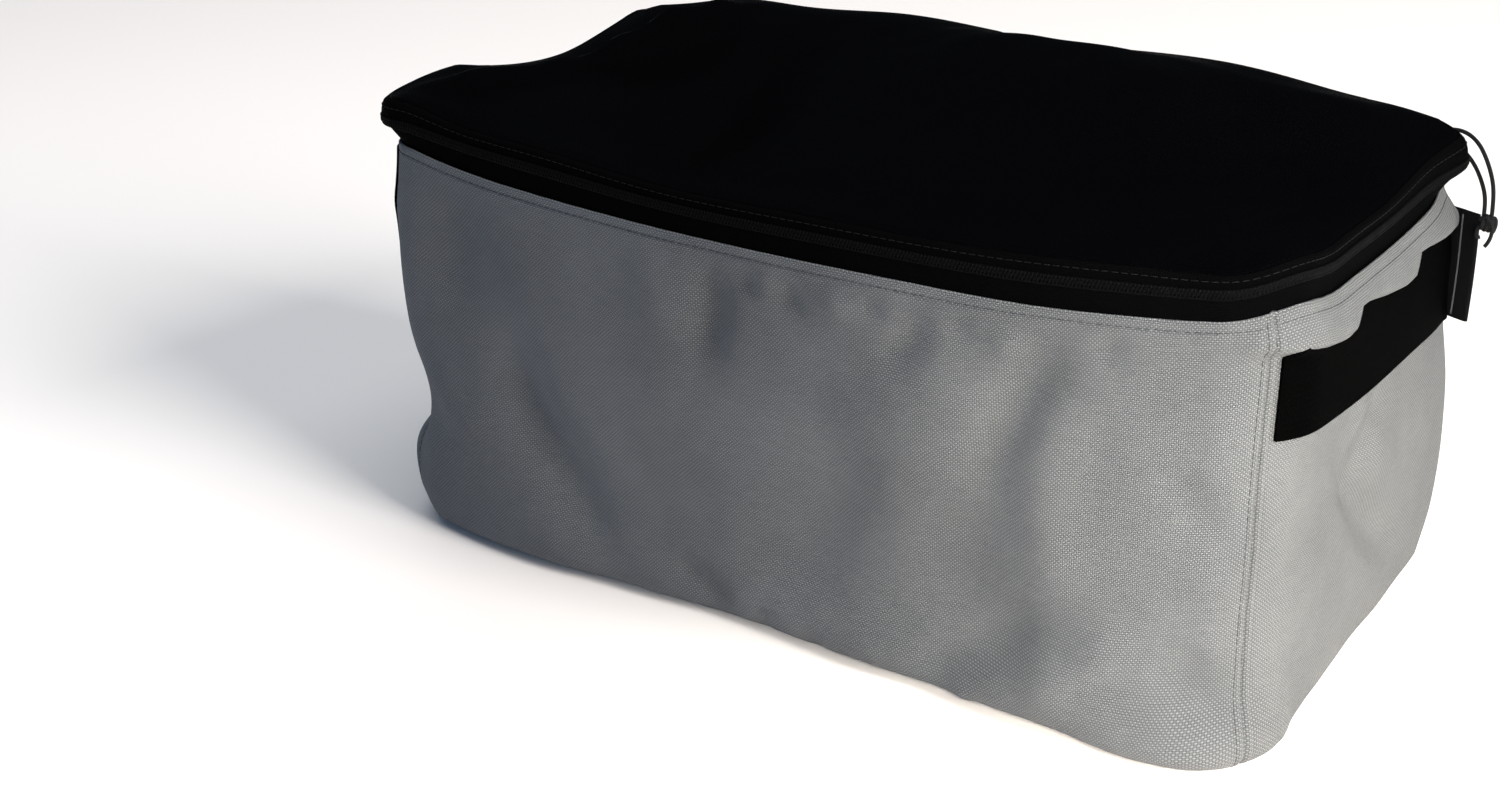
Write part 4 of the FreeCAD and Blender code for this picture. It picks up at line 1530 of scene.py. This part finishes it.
# Each light is (name, place, aim, size, power, colour, spread in degrees).
LIGHTS = (
    ("key", (0.49, -0.60, 0.36), (0.29, -0.11, 0.1), 0.20, 1.45, (1.0, 0.97, 0.895), 52),
    ("side", (4.2, -0.7, 2.5), (0, 0, 0.1), 2.2, 390, (1.0, 0.985, 0.96), 180),
    ("overhead", (-0.3, 0.4, 2.4), (-0.3, 0.2, 0), 3.0, 49, (0.88, 0.945, 1.0), 180),
    ("fill", (-1.6, -2.4, 0.4), (-0.1, 0, 0.12), 1.0, 30, (0.22, 0.5, 1.0), 180),
)


def add_camera():
    """The camera, aimed by its yaw, pitch and roll."""
    flat = math.cos(CAMERA_PITCH)
    ahead = Vector((-math.sin(CAMERA_YAW) * flat, math.cos(CAMERA_YAW) * flat, -math.sin(CAMERA_PITCH)))
    level = Vector((math.cos(CAMERA_YAW), math.sin(CAMERA_YAW), 0))
    above = level.cross(ahead)
    right = level * math.cos(CAMERA_ROLL) + above * math.sin(CAMERA_ROLL)
    up = right.cross(ahead)
    data = bpy.data.cameras.new("camera")
    data.lens = CAMERA_LENS
    data.sensor_width = 36
    data.clip_start = 0.01
    camera = bpy.data.objects.new("camera", data)
    bpy.context.scene.collection.objects.link(camera)
    turned = Matrix((right, up, -ahead)).transposed().to_4x4()
    camera.matrix_world = Matrix.Translation(CAMERA_PLACE) @ turned
    bpy.context.scene.camera = camera


def add_light(name, place, aim, size, power, colour, spread):
    """A square area light aimed at a point."""
    data = bpy.data.lights.new(name, "AREA")
    data.spread = math.radians(spread)
    data.shape = "SQUARE"
    data.size = size
    data.energy = power
    data.color = colour
    light = bpy.data.objects.new(name, data)
    light.location = place
    light.rotation_euler = (Vector(aim) - Vector(place)).to_track_quat("-Z", "Y").to_euler()
    bpy.context.scene.collection.objects.link(light)
    return light


def add_floor():
    """A plain pale floor."""
    material, _, shader = new_shader("floor", 0.7)
    shader.inputs["Base Color"].default_value = FLOOR_COLOUR
    corners = [(x * FLOOR_REACH, y * FLOOR_REACH, 0) for x, y in ((-1, -1), (1, -1), (1, 1), (-1, 1))]
    floor = new_object("floor", corners, [(0, 1, 2, 3)], material, False)
    floor.location.z = -FLOOR_DROP


def add_stage():
    """The floor, two lights from the right, a soft overhead one, a cool low fill and a pale world."""
    add_floor()
    lights = {light[0]: add_light(*light) for light in LIGHTS}
    # The fill tints the shade, without blue glints on the black cloth.
    lights["fill"].visible_glossy = False
    world = bpy.data.worlds.new("world")
    world.use_nodes = True
    sky = world.node_tree.nodes["Background"]
    sky.inputs["Color"].default_value = SKY_COLOUR
    sky.inputs["Strength"].default_value = SKY_STRENGTH
    bpy.context.scene.world = world
    bpy.context.scene.view_settings.view_transform = "Standard"


# ---- build -----------------------------------------------------------------------------

def build_box(grey):
    """The grey walls and the base."""
    lining = make_plain("grey lining", GREY_LINING, 900, 0.06 * MM, 0.6)
    base = make_weave("base weave", BASE_WEAVE, 0.92 * MM, 0.22 * MM)
    build_walls(grey, lining)
    build_base(base, lining)


def build_zip():
    """The zip's tapes, coils and stops."""
    tape = make_weave("zip tape", ZIP_TAPE, 0.75 * MM, 0.3 * MM, 0.8, 0.0, 0.3, 0.008)
    coil = make_plain("zip coil", ZIP_COIL, 1500, 0.03 * MM, 0.62, 0.0, 0.03)
    build_tapes(tape)
    build_coil("coil_lower", "lower_zip_coil", "box", -1, coil)
    build_coil("coil_upper", "upper_zip_coil", "lid", 1, coil)
    build_zip_stops(coil)


def build_top():
    """The lid and the strip that it hinges on."""
    black = make_weave("black weave", BLACK_WEAVE, YARN, 0.45 * MM, 0.46, 0.0, 0.3, 0.007)
    build_hinge(black)
    build_lid(black, make_plain("black lining", BLACK_LINING, 900, 0.05 * MM, 0.55))


def build_bindings():
    """The binding tapes inside the seams."""
    binding = make_ribbed("binding tape", BINDING_TAPE, 1.1 * MM, 0.14 * MM)
    build_lid_binding(binding)
    build_corner_bindings(binding)
    build_base_binding(binding)


def build():
    """The whole bag."""
    webbing = make_ribbed("webbing", WEBBING, 1.4 * MM, 0.3 * MM)
    thread = make_plain("grey thread", GREY_THREAD, 3000, 0.1 * MM, 0.8)
    build_box(make_weave("grey weave", GREY_WEAVE, YARN, 0.5 * MM))
    build_zip()
    build_top()
    build_bindings()
    build_wall_stitches(thread)
    build_lid_stitches(make_plain("black thread", BLACK_THREAD, 3000, 0.1 * MM, 0.8))
    build_handle("handle_right", "right_handle", 1, webbing)
    build_handle("handle_left", "left_handle", -1, webbing)
    build_label(make_ribbed("label tape", LABEL_TAPE, 0.8 * MM, 0.12 * MM), thread)
    build_cords(make_braid("black cord", BLACK_CORD))
    finish_metal(make_plain("dark metal", DARK_METAL, 260, 0.02 * MM, 0.36, 1.0))


build()
add_stage()
add_camera()
